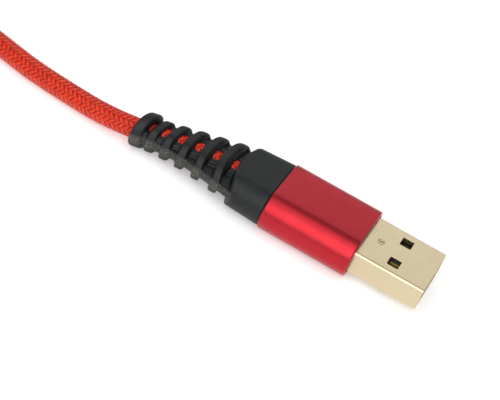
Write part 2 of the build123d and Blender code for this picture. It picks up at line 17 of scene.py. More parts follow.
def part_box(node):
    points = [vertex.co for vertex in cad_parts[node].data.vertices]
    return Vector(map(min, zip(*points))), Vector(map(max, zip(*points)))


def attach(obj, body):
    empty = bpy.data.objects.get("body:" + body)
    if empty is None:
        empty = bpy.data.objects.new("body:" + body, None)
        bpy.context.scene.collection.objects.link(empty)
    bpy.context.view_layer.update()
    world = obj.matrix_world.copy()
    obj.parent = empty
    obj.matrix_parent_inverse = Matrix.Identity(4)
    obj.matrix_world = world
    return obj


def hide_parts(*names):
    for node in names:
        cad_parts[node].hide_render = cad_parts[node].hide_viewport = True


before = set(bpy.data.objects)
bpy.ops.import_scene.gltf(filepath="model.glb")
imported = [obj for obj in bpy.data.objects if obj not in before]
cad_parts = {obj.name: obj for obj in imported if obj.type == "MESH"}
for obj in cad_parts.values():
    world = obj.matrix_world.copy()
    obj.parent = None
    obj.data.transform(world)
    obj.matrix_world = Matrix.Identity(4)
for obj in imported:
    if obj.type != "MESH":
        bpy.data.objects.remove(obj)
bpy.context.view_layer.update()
MM = 0.001
print("CAD nodes:", len(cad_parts))

# %% [markdown]
# ## Small helpers
# Colours are written as the hex codes that a paint or thread maker would give. Blender
# calculates in linear light, so one function converts them. One more function adds a
# shader or geometry node, sets it up and links it, so that each material below reads
# like a recipe.

# %% Colour, node and mesh helpers
MERGE_DISTANCE = 0.0001 * MM


def linear(code):
    """sRGB hex code to Blender's linear RGBA."""
    parts = [int(code[i:i + 2], 16) / 255 for i in (1, 3, 5)]
    rgb = [c / 12.92 if c <= 0.04045 else ((c + 0.055) / 1.055) ** 2.4 for c in parts]
    return (*rgb, 1.0)


def add(tree, kind, inputs=None, **settings):
    """Adds a node; inputs maps a socket's name or number to a value or to another socket."""
    made = tree.nodes.new(kind)
    for name, value in settings.items():
        setattr(made, name, value)
    for key, value in (inputs or {}).items():
        if isinstance(value, bpy.types.NodeSocket):
            tree.links.new(value, made.inputs[key])
        else:
            made.inputs[key].default_value = value
    return made


def new_material(name, **shader):
    """A material with its Principled shader set; returns material, tree and shader."""
    material = bpy.data.materials.new(name)
    material.use_nodes = True
    tree = material.node_tree
    principled = tree.nodes["Principled BSDF"]
    for key, value in shader.items():
        principled.inputs[key.replace("_", " ")].default_value = value
    return material, tree, principled


def mesh_object(name, points, faces, material=None, smooth_angle=35):
    """A mesh object from points in metres, with smooth shading between sharp edges."""
    mesh = bpy.data.meshes.new(name)
    mesh.from_pydata([tuple(p) for p in points], [], faces)
    return finish_mesh(name, mesh, material, smooth_angle)


def finish_mesh(name, mesh, material=None, smooth_angle=35):
    """Links a mesh as an object, its normals outwards and its edges shaded."""
    work = bmesh.new()
    work.from_mesh(mesh)
    bmesh.ops.remove_doubles(work, verts=work.verts, dist=MERGE_DISTANCE)
    bmesh.ops.recalc_face_normals(work, faces=work.faces)
    work.to_mesh(mesh)
    work.free()
    mesh.shade_smooth()
    mesh.set_sharp_from_angle(angle=radians(smooth_angle))
    if material is not None:
        mesh.materials.clear()
        mesh.materials.append(material)
    made = bpy.data.objects.new(name, mesh)
    bpy.context.scene.collection.objects.link(made)
    return made


def evaluated_copy(source, name=None):
    """The mesh that an object's modifiers make, as a new plain mesh."""
    bpy.context.view_layer.update()
    graph = bpy.context.evaluated_depsgraph_get()
    mesh = bpy.data.meshes.new_from_object(source.evaluated_get(graph))
    mesh.name = name or source.name
    return mesh


def bake_modifiers(made):
    """Puts the modifiers' result into the object's own mesh and drops them."""
    mesh = evaluated_copy(made)
    old = made.data
    made.modifiers.clear()
    made.data = mesh
    bpy.data.meshes.remove(old)
    return made


def scrap(*objects):
    """Deletes helper objects."""
    for item in objects:
        bpy.data.objects.remove(item)


print("helpers ready")

# %% [markdown]
# ## Where everything is
# The CAD boxes give the places. Each plug gets a small frame of its own: a point at the
# middle of its tip, and the direction in which the tip points. The sizes that a box
# can't give, such as hoop spacing, repeat the CAD model's own, in millimetres.

# %% Plug frames and sizes


class Plug:
    """Places of one plug: depths run back from its tip, sides across it, heights up."""

    def __init__(self, prefix, direction):
        self.prefix = prefix
        self.direction = direction
        shell_low, shell_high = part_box(prefix + "_shell")
        sleeve_low, sleeve_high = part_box(prefix + "_sleeve")
        self.tip = shell_high.x if direction > 0 else shell_low.x
        self.side = (sleeve_low.y + sleeve_high.y) / 2
        self.axis = (sleeve_low.z + sleeve_high.z) / 2
        self.shell = Vector(shell_high) - Vector(shell_low)
        self.sleeve = Vector(sleeve_high) - Vector(sleeve_low)
        front = sleeve_high.x if direction > 0 else sleeve_low.x
        self.sleeve_front = abs(self.tip - front)
        self.sleeve_rear = self.sleeve_front + self.sleeve.x

    def at(self, depth, side, height):
        """Point at a depth behind the tip, in the row frame."""
        turn = self.direction
        return Vector((self.tip - turn * depth, self.side + turn * side, self.axis + height))


plug_a = Plug("usb_a", 1)
plug_c = Plug("usb_c", -1)
CORD_DIAMETER = 3.8 * MM
CORD_RADIUS = CORD_DIAMETER / 2
TURN_PITCH = 3.9 * MM
TURNS_ACROSS = 2
LAYERS = 2
FOLD_RADIUS = 14.05 * MM
HANK_RUN = 54.6 * MM
TIE_THICKNESS = 0.7 * MM
hank_low, hank_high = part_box("cord_hank")
hank_x = hank_low.x + FOLD_RADIUS + TURN_PITCH * TURNS_ACROSS / 2 + HANK_RUN / 2
hank_y = (hank_low.y + hank_high.y) / 2
inner_fold = FOLD_RADIUS - TURN_PITCH * (TURNS_ACROSS - 1) / 2
tail_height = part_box("cord_tail")[0].z + CORD_RADIUS
print("USB-A tip at", round(plug_a.tip / MM, 2), "mm")
print("USB-A sleeve", [round(v / MM, 2) for v in plug_a.sleeve], "mm")
print("hank centre", round(hank_x / MM, 2), round(hank_y / MM, 2))

# %% [markdown]
# ## Camera
# The camera looks down across the plug from its long side, close by, and leans to one
# side so that the cable runs diagonally. It could be turned by three angles, but here
# its own three axes are worked out and put into a matrix, which leaves no doubt about
# the order of the turns.

# %% Camera
CAMERA_AIM = Vector((-4.63, -4.73, 3.75)) * MM
CAMERA_AZIMUTH = radians(11.37)
CAMERA_ELEVATION = radians(38.80)
CAMERA_LEAN = radians(22.41)
CAMERA_DISTANCE = 269.3 * MM
CAMERA_LENS = 115.2

sin_a, cos_a = sin(CAMERA_AZIMUTH), cos(CAMERA_AZIMUTH)
sin_e, cos_e = sin(CAMERA_ELEVATION), cos(CAMERA_ELEVATION)
backward = Vector((sin_a * cos_e, -cos_a * cos_e, sin_e))
level_right = Vector((cos_a, sin_a, 0))
level_up = backward.cross(level_right)
right = level_right * cos(CAMERA_LEAN) + level_up * sin(CAMERA_LEAN)
up = backward.cross(right)
turn = Matrix((right, up, backward)).transposed().to_4x4()
camera = bpy.data.objects.new("camera", bpy.data.cameras.new("camera"))
camera.data.lens = CAMERA_LENS
camera.data.clip_start = 1 * MM
camera.matrix_world = Matrix.Translation(CAMERA_AIM + backward * CAMERA_DISTANCE) @ turn
bpy.context.scene.collection.objects.link(camera)
bpy.context.scene.camera = camera
print("camera at", [round(v / MM, 1) for v in camera.matrix_world.translation], "mm")

# %% [markdown]
# ## Floor
# The cable lies on matte white paper. The paper gives off a little light of its own, as
# on a table that is lit from below, so that the shadows stay faint.

# %% Floor
FLOOR_HALF = 1.2
FLOOR_GLOW = 0.30
floor_material, _, floor_shader = new_material("pale_paper_matte", Roughness=0.9)
floor_shader.inputs["Base Color"].default_value = linear("#F4F4F4")
floor_shader.inputs["Emission Color"].default_value = linear("#FFFFFF")
floor_shader.inputs["Emission Strength"].default_value = FLOOR_GLOW
corners = [(-1, -1), (1, -1), (1, 1), (-1, 1)]
floor = mesh_object(
    "floor", [(FLOOR_HALF * x, FLOOR_HALF * y, 0) for x, y in corners], [(0, 1, 2, 3)], floor_material
)
print("floor:", 2 * FLOOR_HALF, "m wide")

# %% [markdown]
# ## Light
# The main light is a wide soft panel in front, about half way up. A lower panel behind
# lights the flat top faces, and a weak box overhead fills in. Shiny rounded edges mirror
# these in turn: dark where they see the gap between the back and front panels, then one
# broad bright band. The Standard view transform keeps the white of the paper.

# %% Lights and world
WORLD_GLOW = 0.30


def soft_box(name, azimuth, elevation, distance, size, power):
    """Rectangular area light at a direction from the plug, facing it."""
    light = bpy.data.lights.new(name, "AREA")
    light.shape = "RECTANGLE"
    light.size, light.size_y = size
    light.energy = power
    made = bpy.data.objects.new(name, light)
    a, e = radians(azimuth), radians(elevation)
    away = Vector((sin(a) * cos(e), -cos(a) * cos(e), sin(e)))
    made.location = away * distance
    made.rotation_euler = away.to_track_quat("Z", "Y").to_euler()
    bpy.context.scene.collection.objects.link(made)
    return made


soft_box("overhead_box", 0, 84, 0.60, (0.70, 0.26), 0.7)
soft_box("back_panel", 185, 34, 0.80, (1.30, 0.36), 1.25)
soft_box("front_panel", 5, 42, 0.85, (1.10, 0.86), 6.6)
world = bpy.data.worlds.new("studio")
world.use_nodes = True
world.node_tree.nodes["Background"].inputs["Color"].default_value = linear("#FFFFFF")
world.node_tree.nodes["Background"].inputs["Strength"].default_value = WORLD_GLOW
bpy.context.scene.world = world
bpy.context.scene.view_settings.view_transform = "Standard"
print("lights ready")

# %% [markdown]
# ## The cord's line
# The cord is one length of something flexible, so it gets one smooth line: a NURBS
# curve whose control points are the route's. It leaves the strain relief level, comes
# down to the table, runs on in a lazy bend and winds into a flat hank. The hank's turns
# come from a loop: two side by side on the table, then two on top of them. Each steps
# over to the next in the second half of its closing fold, and the last climbs on top,
# where the plug lies. Where the tie passes under the hank, the turns ride over it in a
# low hump. A spline passes a little inside its control points on a bend, so the folds'
# points stand out by a ratio, FOLD_CUT, that brings the curve back to its radius.

# %% The route's points
LEAD = [
    (-1.475, 0.0, 3.75), (-9.5, 0.0, 3.75), (-18.0, -0.48, 3.57), (-27.0, -2.0, 3.06),
    (-34.5, -2.35, 2.3), (-42.0, -1.55, 1.9), (-50.0, -0.85, 1.9), (-55.8, 0.4, 1.9),
    (-61.2, 1.6, 1.9), (-66.5, 1.6, 1.9), (-74.0, 1.6, 1.9),
]
TAIL = [
    (-79.0, 1.6, 9.8), (-84.0, 1.6, 9.8), (-89.0, 1.6, 9.8), (-95.5, 1.6, 11.15),
    (-105.0, 1.66, 11.15), (-115.4, 1.6, 11.15), (-125.6, 1.6, 11.15),
]
RUN_POINTS = 7
FOLD_POINTS = 12
FOLD_CUT = 0.9915
HUMP_HEIGHT = 1.07 * TIE_THICKNESS
HUMP_REACH = 1.5
CURVE_STEPS = 10


def eased(share):
    """Smooth step from 0 to 1."""
    share = min(max(share, 0), 1)
    return share * share * (3 - 2 * share)


def hank_turn(number):
    """Control points of one turn: run, fold, tied run, then the fold that steps over."""
    upper = number >= TURNS_ACROSS
    ring = number - TURNS_ACROSS if upper else TURNS_ACROSS - 1 - number
    base = inner_fold + TURN_PITCH * ring
    height = CORD_RADIUS + (TURN_PITCH if upper else 0)
    last_in_layer = number % TURNS_ACROSS == TURNS_ACROSS - 1
    spacing = HANK_RUN / RUN_POINTS
    points = []
    for i in range(RUN_POINTS):
        points.append((HANK_RUN / 2 - spacing * (i + 0.5), base, height))
    for i in range(FOLD_POINTS):
        angle = pi / 2 + pi * (i + 0.5) / FOLD_POINTS
        radius = base / FOLD_CUT
        points.append((radius * cos(angle) - HANK_RUN / 2, radius * sin(angle), height))
    for i in range(RUN_POINTS):
        along = spacing * (i + 0.5) - HANK_RUN / 2
        over_tie = HUMP_HEIGHT if abs(along) < HUMP_REACH * spacing else 0
        points.append((along, -base, height + over_tie))
    for i in range(FOLD_POINTS):
        share = (i + 0.5) / FOLD_POINTS
        angle = pi * share - pi / 2
        step = eased(2 * share - 1)
        radius = base / FOLD_CUT
        level = height
        if last_in_layer:
            rise = tail_height - height if upper else TURN_PITCH
            bulge = TURN_PITCH / 2 * sin(pi * step)
            radius += bulge if upper else -bulge
            level += rise * step
        else:
            radius += TURN_PITCH * step * (1 if upper else -1)
        points.append((radius * cos(angle) + HANK_RUN / 2, radius * sin(angle), level))
    return [Vector((hank_x + x, hank_y + y, z)) for x, y, z in points]


cord_points = [Vector(point) * MM for point in LEAD]
for turn_number in range(TURNS_ACROSS * LAYERS):
    cord_points += hank_turn(turn_number)
cord_points += [Vector(point) * MM for point in TAIL]

line_data = bpy.data.curves.new("cord_line", "CURVE")
line_data.dimensions = "3D"
line_data.resolution_u = CURVE_STEPS
spline = line_data.splines.new("NURBS")
spline.points.add(len(cord_points) - 1)
for point, place in zip(spline.points, cord_points):
    point.co = (*place, 1)
spline.order_u = 3
spline.use_endpoint_u = True
line_object = bpy.data.objects.new("cord_line", line_data)
bpy.context.scene.collection.objects.link(line_object)
line_mesh = evaluated_copy(line_object)
raw_line = np.array([v.co for v in line_mesh.vertices])
scrap(line_object)
raw_steps = np.linalg.norm(np.diff(raw_line, axis=0), axis=1)
raw_length = np.concatenate(([0], np.cumsum(raw_steps)))
CORD_LENGTH = float(raw_length[-1])
print("cord line:", len(cord_points), "points,", round(CORD_LENGTH / MM, 1), "mm long")

# %% [markdown]
# ## The braid
# The jacket is braided nylon: twenty-four yarns, twelve winding each way, each going
# over two and under two. It could be a smooth tube with a bump map, but its outline
# would then be too clean. Here the pattern is a formula, so the relief is real geometry.

# %% Braid pattern
YARNS_EACH_WAY = 12
BRAID_PITCH = 11.4 * MM
YARN_LEVEL = 0.62
YARN_SWING = 0.38


def braid_height(around, along):
    """0 in the gaps to 1 on the crests; around is 0-1, along in metres."""
    a = YARNS_EACH_WAY * (around + along / BRAID_PITCH)
    b = YARNS_EACH_WAY * (around - along / BRAID_PITCH)
    cell_a, cell_b = np.floor(a), np.floor(b)
    round_a = 1 - (2 * (a - cell_a) - 1) ** 2
    round_b = 1 - (2 * (b - cell_b) - 1) ** 2
    over_a = np.cos(tau * (cell_a + b - 1) / 4)
    over_b = -np.cos(tau * (a + cell_b - 1) / 4)
    lift_a = round_a ** 0.5 * (YARN_LEVEL + YARN_SWING * over_a)
    lift_b = round_b ** 0.5 * (YARN_LEVEL + YARN_SWING * over_b)
    return np.maximum(lift_a, lift_b)


print("yarns:", 2 * YARNS_EACH_WAY, "pitch", round(BRAID_PITCH / MM, 1), "mm")

# %% [markdown]
# ### The tube that carries it
# A ring of vertices is carried along the line without twisting, and the pattern lifts
# each vertex where a yarn lies on top. The rings stand closer on the two stretches that
# come near the eye than in the hank.

# %% Braid tube
BRAID_RELIEF = 0.13 * MM
BRAID_CREST = 1.95 * MM
AROUND = 48
FINE_STEP = 0.27 * MM
COIL_STEP = 0.60 * MM
TAIL_STEP = 1.4 * FINE_STEP
LEAD_END = 95 * MM
TAIL_LENGTH = 62 * MM


def resampled(line, lengths, marks):
    """Points on a polyline at given distances along it."""
    return np.stack([np.interp(marks, lengths, line[:, axis]) for axis in range(3)], axis=1)


def carried_frames(points):
    """Side vectors along a line, carried without twist, starting level."""
    tangents = np.gradient(points, axis=0)
    tangents /= np.linalg.norm(tangents, axis=1)[:, None]
    side = np.cross(tangents[0], (0, 0, 1))
    sides = []
    for tangent in tangents:
        side = side - tangent * side.dot(tangent)
        side = side / np.linalg.norm(side)
        sides.append(side)
    sides = np.array(sides)
    return sides, np.cross(tangents, sides)


tail_start = CORD_LENGTH - TAIL_LENGTH
marks = np.concatenate((
    np.arange(0, LEAD_END, FINE_STEP),
    np.arange(LEAD_END, tail_start, COIL_STEP),
    np.arange(tail_start, CORD_LENGTH, TAIL_STEP),
    [CORD_LENGTH],
))
cord_line = resampled(raw_line, raw_length, marks)
sides, ups = carried_frames(cord_line)
around = np.arange(AROUND) / AROUND
grid_around, grid_along = np.meshgrid(around, marks)
lift = braid_height(grid_around, grid_along)
radius = BRAID_CREST - BRAID_RELIEF * (1 - lift)
angles = grid_around * tau
rings = (
    cord_line[:, None, :]
    + (radius * np.cos(angles))[:, :, None] * sides[:, None, :]
    + (radius * np.sin(angles))[:, :, None] * ups[:, None, :]
)
rows = len(marks)
column = np.arange(AROUND)
following = (column + 1) % AROUND
start = (np.arange(rows - 1) * AROUND)[:, None]
faces = np.stack(
    (start + column, start + following, start + AROUND + following, start + AROUND + column), axis=2
).reshape(-1, 4)
near_cap = list(range(AROUND - 1, -1, -1))
far_cap = [(rows - 1) * AROUND + i for i in range(AROUND)]
braid_mesh = bpy.data.meshes.new("braided_cord")
braid_mesh.from_pydata(rings.reshape(-1, 3).tolist(), [], faces.tolist() + [near_cap, far_cap])
braid_mesh.shade_smooth()
braided_cord = bpy.data.objects.new("braided_cord", braid_mesh)
bpy.context.scene.collection.objects.link(braided_cord)
print("braid:", rows, "rings,", 2 * len(faces), "triangles")

# %% [markdown]
# ### A map for the yarns
# The material has to find the same yarns as the mesh, so the tube gets a UV map: U runs
# once round the cord, and V counts pitches along it. Near the seam, U goes on to 1
# instead of falling back to 0, so that no face is squeezed.

# %% Braid map
uv_layer = braid_mesh.uv_layers.new(name="braid")
corner_around = np.stack((column, column + 1, column + 1, column), axis=1) / AROUND
corner_u = np.broadcast_to(corner_around, (rows - 1, AROUND, 4))
low = marks[:-1, None, None]
high = marks[1:, None, None]
corner_v = np.concatenate((low, low, high, high), axis=2) / BRAID_PITCH
corner_v = np.broadcast_to(corner_v, (rows - 1, AROUND, 4))
uv = np.zeros((len(braid_mesh.loops), 2), np.float32)
body_corners = (rows - 1) * AROUND * 4
uv[:body_corners, 0] = corner_u.reshape(-1)
uv[:body_corners, 1] = corner_v.reshape(-1)
uv_layer.data.foreach_set("uv", uv.ravel())
print("map:", body_corners, "corners")

# %% [markdown]
# ### Braided nylon
# Dyed nylon filament yarn, braided over a PVC jacket. Each yarn is a flat bundle of a
# dozen fine filaments that shine along their length; the gaps between yarns fall into
# shade. The real filaments are about 0.03 mm thick, too fine to show, so the pattern
# draws seven to a yarn. The nodes repeat the mesh's formula, one family of yarns at a
# time, and the higher of the two families is the one that shows.

# %% Yarn pattern nodes
FILAMENTS = 7
MATH = "ShaderNodeMath"
nylon, tree, shader = new_material("nylon_braid_dyed_red", Roughness=0.26, IOR=1.58)
uv_map = add(tree, "ShaderNodeUVMap", uv_map="braid")
split = add(tree, "ShaderNodeSeparateXYZ", {0: uv_map.outputs[0]})
u_turns, v_pitches = split.outputs[0], split.outputs[1]


def yarn_nodes(tree, own, other, swing):
    """Cell number, across-yarn place and height of one family of yarns."""
    cell = add(tree, MATH, {0: own}, operation="FLOOR").outputs[0]
    across = add(tree, MATH, {0: own, 1: cell}, operation="SUBTRACT").outputs[0]
    centred = add(tree, MATH, {0: across, 1: 2.0, 2: -1.0}, operation="MULTIPLY_ADD").outputs[0]
    squared = add(tree, MATH, {0: centred, 1: centred}, operation="MULTIPLY").outputs[0]
    rounding = add(tree, MATH, {0: 1.0, 1: squared}, operation="SUBTRACT").outputs[0]
    crown = add(tree, MATH, {0: rounding}, operation="SQRT").outputs[0]
    place = add(tree, MATH, {0: cell, 1: other}, operation="ADD").outputs[0]
    phase = add(tree, MATH, {0: place, 1: 1.0}, operation="SUBTRACT").outputs[0]
    angle = add(tree, MATH, {0: phase, 1: tau / 4}, operation="MULTIPLY").outputs[0]
    wave = add(tree, MATH, {0: angle}, operation="COSINE").outputs[0]
    lifted = add(
        tree, MATH, {0: wave, 1: swing, 2: YARN_LEVEL}, operation="MULTIPLY_ADD"
    ).outputs[0]
    height = add(tree, MATH, {0: crown, 1: lifted}, operation="MULTIPLY").outputs[0]
    return cell, across, height


sum_turns = add(tree, MATH, {0: u_turns, 1: v_pitches}, operation="ADD").outputs[0]
sum_place = add(tree, MATH, {0: sum_turns, 1: YARNS_EACH_WAY}, operation="MULTIPLY").outputs[0]
gap_turns = add(tree, MATH, {0: u_turns, 1: v_pitches}, operation="SUBTRACT").outputs[0]
gap_place = add(tree, MATH, {0: gap_turns, 1: YARNS_EACH_WAY}, operation="MULTIPLY").outputs[0]
cell_a, across_a, height_a = yarn_nodes(tree, sum_place, gap_place, YARN_SWING)
cell_b, across_b, height_b = yarn_nodes(tree, gap_place, sum_place, -YARN_SWING)
b_on_top = add(tree, MATH, {0: height_b, 1: height_a}, operation="GREATER_THAN").outputs[0]
top_height = add(tree, MATH, {0: height_a, 1: height_b}, operation="MAXIMUM").outputs[0]
top_across = add(
    tree, "ShaderNodeMix", {0: b_on_top, 2: across_a, 3: across_b}, data_type="FLOAT"
).outputs[0]
print("yarn nodes:", len(tree.nodes))

# %% [markdown]
# ### Shades of one red
# The height of the pattern gives most of the colour as painted shade: dark in the gaps
# between yarns, where shade falls, and lighter on the crests. A dyed yarn is never quite
# even, so a noise that changes from yarn to yarn gives the rest, and the filaments draw
# faint lines. The clear highlights lean to orange, as light through dyed nylon does.

# %% Nylon colour and relief
GAP_SHADE_WEIGHT = 0.62
TONE_WEIGHT = 0.38
FILAMENT_WEIGHT = 0.05
FILAMENT_RELIEF = 0.10
shader.inputs["Specular Tint"].default_value = linear("#FFC09A")
shader.inputs["Specular IOR Level"].default_value = 0.8
filament_angle = add(
    tree, MATH, {0: top_across, 1: FILAMENTS * tau}, operation="MULTIPLY"
).outputs[0]
filament = add(tree, MATH, {0: filament_angle}, operation="SINE").outputs[0]
yarn = add(tree, "ShaderNodeCombineXYZ", {0: cell_a, 1: cell_b, 2: b_on_top}).outputs[0]
yarn_tone = add(
    tree, "ShaderNodeTexNoise", {"Vector": yarn, "Scale": 0.73, "Detail": 1.0}
).outputs["Fac"]
tone_part = add(tree, MATH, {0: yarn_tone, 1: TONE_WEIGHT}, operation="MULTIPLY").outputs[0]
# painted shade: the pattern's height darkens the colour in the gaps between yarns and lightens it on
# the crests
shade = add(
    tree, MATH, {0: top_height, 1: GAP_SHADE_WEIGHT, 2: tone_part}, operation="MULTIPLY_ADD"
).outputs[0]
shade = add(
    tree, MATH, {0: filament, 1: FILAMENT_WEIGHT, 2: shade}, operation="MULTIPLY_ADD"
).outputs[0]
# the darkest stop is painted shade for the gaps, the brightest a painted lighter crest
ramp = add(tree, "ShaderNodeValToRGB", {0: shade})
ramp.color_ramp.elements[0].position = 0.30
ramp.color_ramp.elements[0].color = linear("#640404")
ramp.color_ramp.elements[1].position = 0.82
ramp.color_ramp.elements[1].color = linear("#FA3A1A")
middle_stop = ramp.color_ramp.elements.new(0.58)
middle_stop.color = linear("#CC160C")
tree.links.new(ramp.outputs[0], shader.inputs["Base Color"])
relief = add(
    tree, MATH, {0: filament, 1: FILAMENT_RELIEF, 2: top_height}, operation="MULTIPLY_ADD"
).outputs[0]
bump = add(tree, "ShaderNodeBump", {"Height": relief, "Strength": 1.0, "Distance": 0.16 * MM})
tree.links.new(bump.outputs[0], shader.inputs["Normal"])
braided_cord.data.materials.append(nylon)
print("material:", nylon.name)

# %% [markdown]
# ## Metal finishes
# The USB-A shell is folded steel with a thin gold plating: a pale, satin metal. The
# contacts have a thicker, brighter gold. The sleeves are aluminium, fine blasted and
# anodised red: the dye sits in a clear oxide layer, so highlights stay tinted. The USB-C
# shell and its springs are steel with a bright nickel plating, and the shield's bare
# wire is tinned copper, a little duller. One recipe serves all five: a fine grain in the
# bump, and a slow cloud that varies colour and shine so that no face is quite even.

# %% Metal materials
CLOUD_SIZE = 2.5 * MM


def metal(name, colour, shade_colour, roughness, grain_mm, bump_mm, variation=0.06):
    """Metal with fine grain in its bump and a slow cloud of variation in colour and shine."""
    material, tree, shader = new_material(name, Metallic=1.0, Roughness=roughness)
    place = add(tree, "ShaderNodeTexCoord").outputs["Object"]
    clouds = add(
        tree, "ShaderNodeTexNoise", {"Vector": place, "Scale": 1 / CLOUD_SIZE, "Detail": 3.0}
    ).outputs["Fac"]
    grain = add(
        tree, "ShaderNodeTexNoise", {"Vector": place, "Scale": 1 / (grain_mm * MM), "Detail": 2.0}
    ).outputs["Fac"]
    mixed = add(
        tree, "ShaderNodeMix", {"Factor": clouds, 6: linear(colour), 7: linear(shade_colour)},
        data_type="RGBA",
    )
    tree.links.new(mixed.outputs[2], shader.inputs["Base Color"])
    rough = add(
        tree, MATH, {0: clouds, 1: 2 * variation, 2: roughness - variation}, operation="MULTIPLY_ADD"
    )
    tree.links.new(rough.outputs[0], shader.inputs["Roughness"])
    bump = add(tree, "ShaderNodeBump", {"Height": grain, "Strength": 0.5, "Distance": bump_mm * MM})
    tree.links.new(bump.outputs[0], shader.inputs["Normal"])
    return material


gold = metal("gold_plating_satin", "#D6C8A8", "#D2C3A0", 0.27, 0.25, 0.003, 0.02)
contact_gold = metal("gold_plating_bright", "#E6C06A", "#D8AE55", 0.18, 0.2, 0.003)
anodised = metal("anodised_aluminium_red", "#BE2230", "#B01B28", 0.37, 0.10, 0.010, 0.03)
anodised.node_tree.nodes["Principled BSDF"].inputs["Coat Weight"].default_value = 0.35
anodised.node_tree.nodes["Principled BSDF"].inputs["Coat Roughness"].default_value = 0.38
nickel = metal("nickel_plated_steel", "#BDBBB5", "#A9A7A1", 0.24, 0.2, 0.003)
tinned = metal("tinned_copper", "#B9B5AC", "#98948B", 0.35, 0.1, 0.01)
print("metals ready")

# %% [markdown]
# ## Plastics
# The plugs' insulators are hard polyamide with a soft sheen, and their filling is a
# duller polyethylene. The wires are smooth PVC, the board is glass fibre under green
# solder resist, and the resistor is glazed. All of them are moulded or coated, so one
# recipe gives an even grain in the bump and a faint mottling in the colour.

# %% Plastic materials
MOTTLE_SIZE = 0.9 * MM


def plastic(name, colour, second, roughness, grain_mm, bump_mm, ior=1.5):
    """Moulded plastic: even grain in the bump, faint mottling in the colour."""
    material, tree, shader = new_material(name, Roughness=roughness, IOR=ior)
    place = add(tree, "ShaderNodeTexCoord").outputs["Object"]
    mottle = add(
        tree, "ShaderNodeTexNoise", {"Vector": place, "Scale": 1 / MOTTLE_SIZE, "Detail": 4.0}
    ).outputs["Fac"]
    grain = add(
        tree, "ShaderNodeTexNoise", {"Vector": place, "Scale": 1 / (grain_mm * MM), "Detail": 3.0}
    ).outputs["Fac"]
    ramp = add(tree, "ShaderNodeValToRGB", {0: mottle})
    ramp.color_ramp.elements[0].position = 0.38
    ramp.color_ramp.elements[0].color = linear(colour)
    ramp.color_ramp.elements[1].position = 0.75
    ramp.color_ramp.elements[1].color = linear(second)
    tree.links.new(ramp.outputs[0], shader.inputs["Base Color"])
    bump = add(tree, "ShaderNodeBump", {"Height": grain, "Strength": 0.6, "Distance": bump_mm * MM})
    tree.links.new(bump.outputs[0], shader.inputs["Normal"])
    return material


insulator = plastic("polyamide_moulded_black", "#141414", "#1D1D1D", 0.42, 0.15, 0.006)
filling = plastic("polyethylene_moulded_black", "#191A1A", "#222323", 0.5, 0.2, 0.01)
pvc_red = plastic("pvc_insulation_red", "#B5141A", "#C2222A", 0.4, 0.3, 0.004)
pvc_white = plastic("pvc_insulation_white", "#DAD8D2", "#E6E4DF", 0.4, 0.3, 0.004)
pvc_green = plastic("pvc_insulation_green", "#127A35", "#1A8A42", 0.4, 0.3, 0.004)
pvc_black = plastic("pvc_insulation_black", "#161616", "#212121", 0.4, 0.3, 0.004)
board_green = plastic("solder_resist_green", "#0E5B2B", "#14683A", 0.3, 0.3, 0.003)
ceramic = plastic("resistor_ceramic_glazed", "#101010", "#1B1B1B", 0.25, 0.3, 0.002)
print("plastics ready")

# %% [markdown]
# ### Rubber
# The strain reliefs are moulded in soft black thermoplastic rubber. The mould is
# spark-eroded, which leaves a fine even grain. Pale grey specks are mixed into the
# colour on the outer edges of the rails, and an attribute on the mesh, called dust,
# says where they may lie.

# %% Rubber material
PALE_SPECK = 0.13 * MM
PALE_SPECK_THRESHOLD = 0.44
PALE_SPECK_CONTRAST = 5.0
rubber = plastic("thermoplastic_rubber_black", "#0B0F11", "#151A1C", 0.5, 0.16, 0.014, 1.42)
tree = rubber.node_tree
shader = tree.nodes["Principled BSDF"]
pale_edge_place = add(tree, "ShaderNodeAttribute", attribute_name="dust").outputs["Fac"]
place = add(tree, "ShaderNodeTexCoord").outputs["Object"]
specks = add(
    tree, "ShaderNodeTexNoise", {"Vector": place, "Scale": 1 / PALE_SPECK, "Detail": 4.0}
).outputs["Fac"]
above = add(tree, MATH, {0: specks, 1: PALE_SPECK_THRESHOLD}, operation="SUBTRACT").outputs[0]
sharp = add(tree, MATH, {0: above, 1: PALE_SPECK_CONTRAST}, operation="MULTIPLY").outputs[0]
# pale grey specks mixed into the colour where the noise is high along the rails' outer edges
pale_specks = add(
    tree, MATH, {0: sharp, 1: pale_edge_place}, operation="MULTIPLY", use_clamp=True
).outputs[0]
clean = shader.inputs["Base Color"].links[0].from_socket
mixed = add(
    tree, "ShaderNodeMix", {"Factor": pale_specks, 6: clean, 7: linear("#6E6860")}, data_type="RGBA"
)
tree.links.new(mixed.outputs[2], shader.inputs["Base Color"])
print("material:", rubber.name)

# %% [markdown]
# ## Tubes with a soft rim
# Both sleeves are short tubes with flat faces and half-round sides. One function turns
# a list of rings into a closed skin, and a ring is a stadium: two straight sides joined
# by half circles. The rims get a small rounded bevel, as the tool leaves them.

# %% Sleeves
SLEEVE_WALL = 0.7 * MM
SLEEVE_BEVEL = 0.28 * MM
ARC_STEPS = 28
FLAT_STEPS = 6


def stadium(half_width, half_height, arc_steps=ARC_STEPS, flat_steps=FLAT_STEPS):
    """Closed outline as (side, height) points, anticlockwise."""
    straight = half_width - half_height
    points = []
    for middle, begin in ((straight, -pi / 2), (-straight, pi / 2)):
        for step in range(arc_steps + 1):
            angle = begin + pi * step / arc_steps
            points.append((middle + half_height * cos(angle), half_height * sin(angle)))
        for step in range(1, flat_steps):
            share = step / flat_steps
            level = half_height if begin < 0 else -half_height
            points.append((middle * (1 - 2 * share), level))
    return points


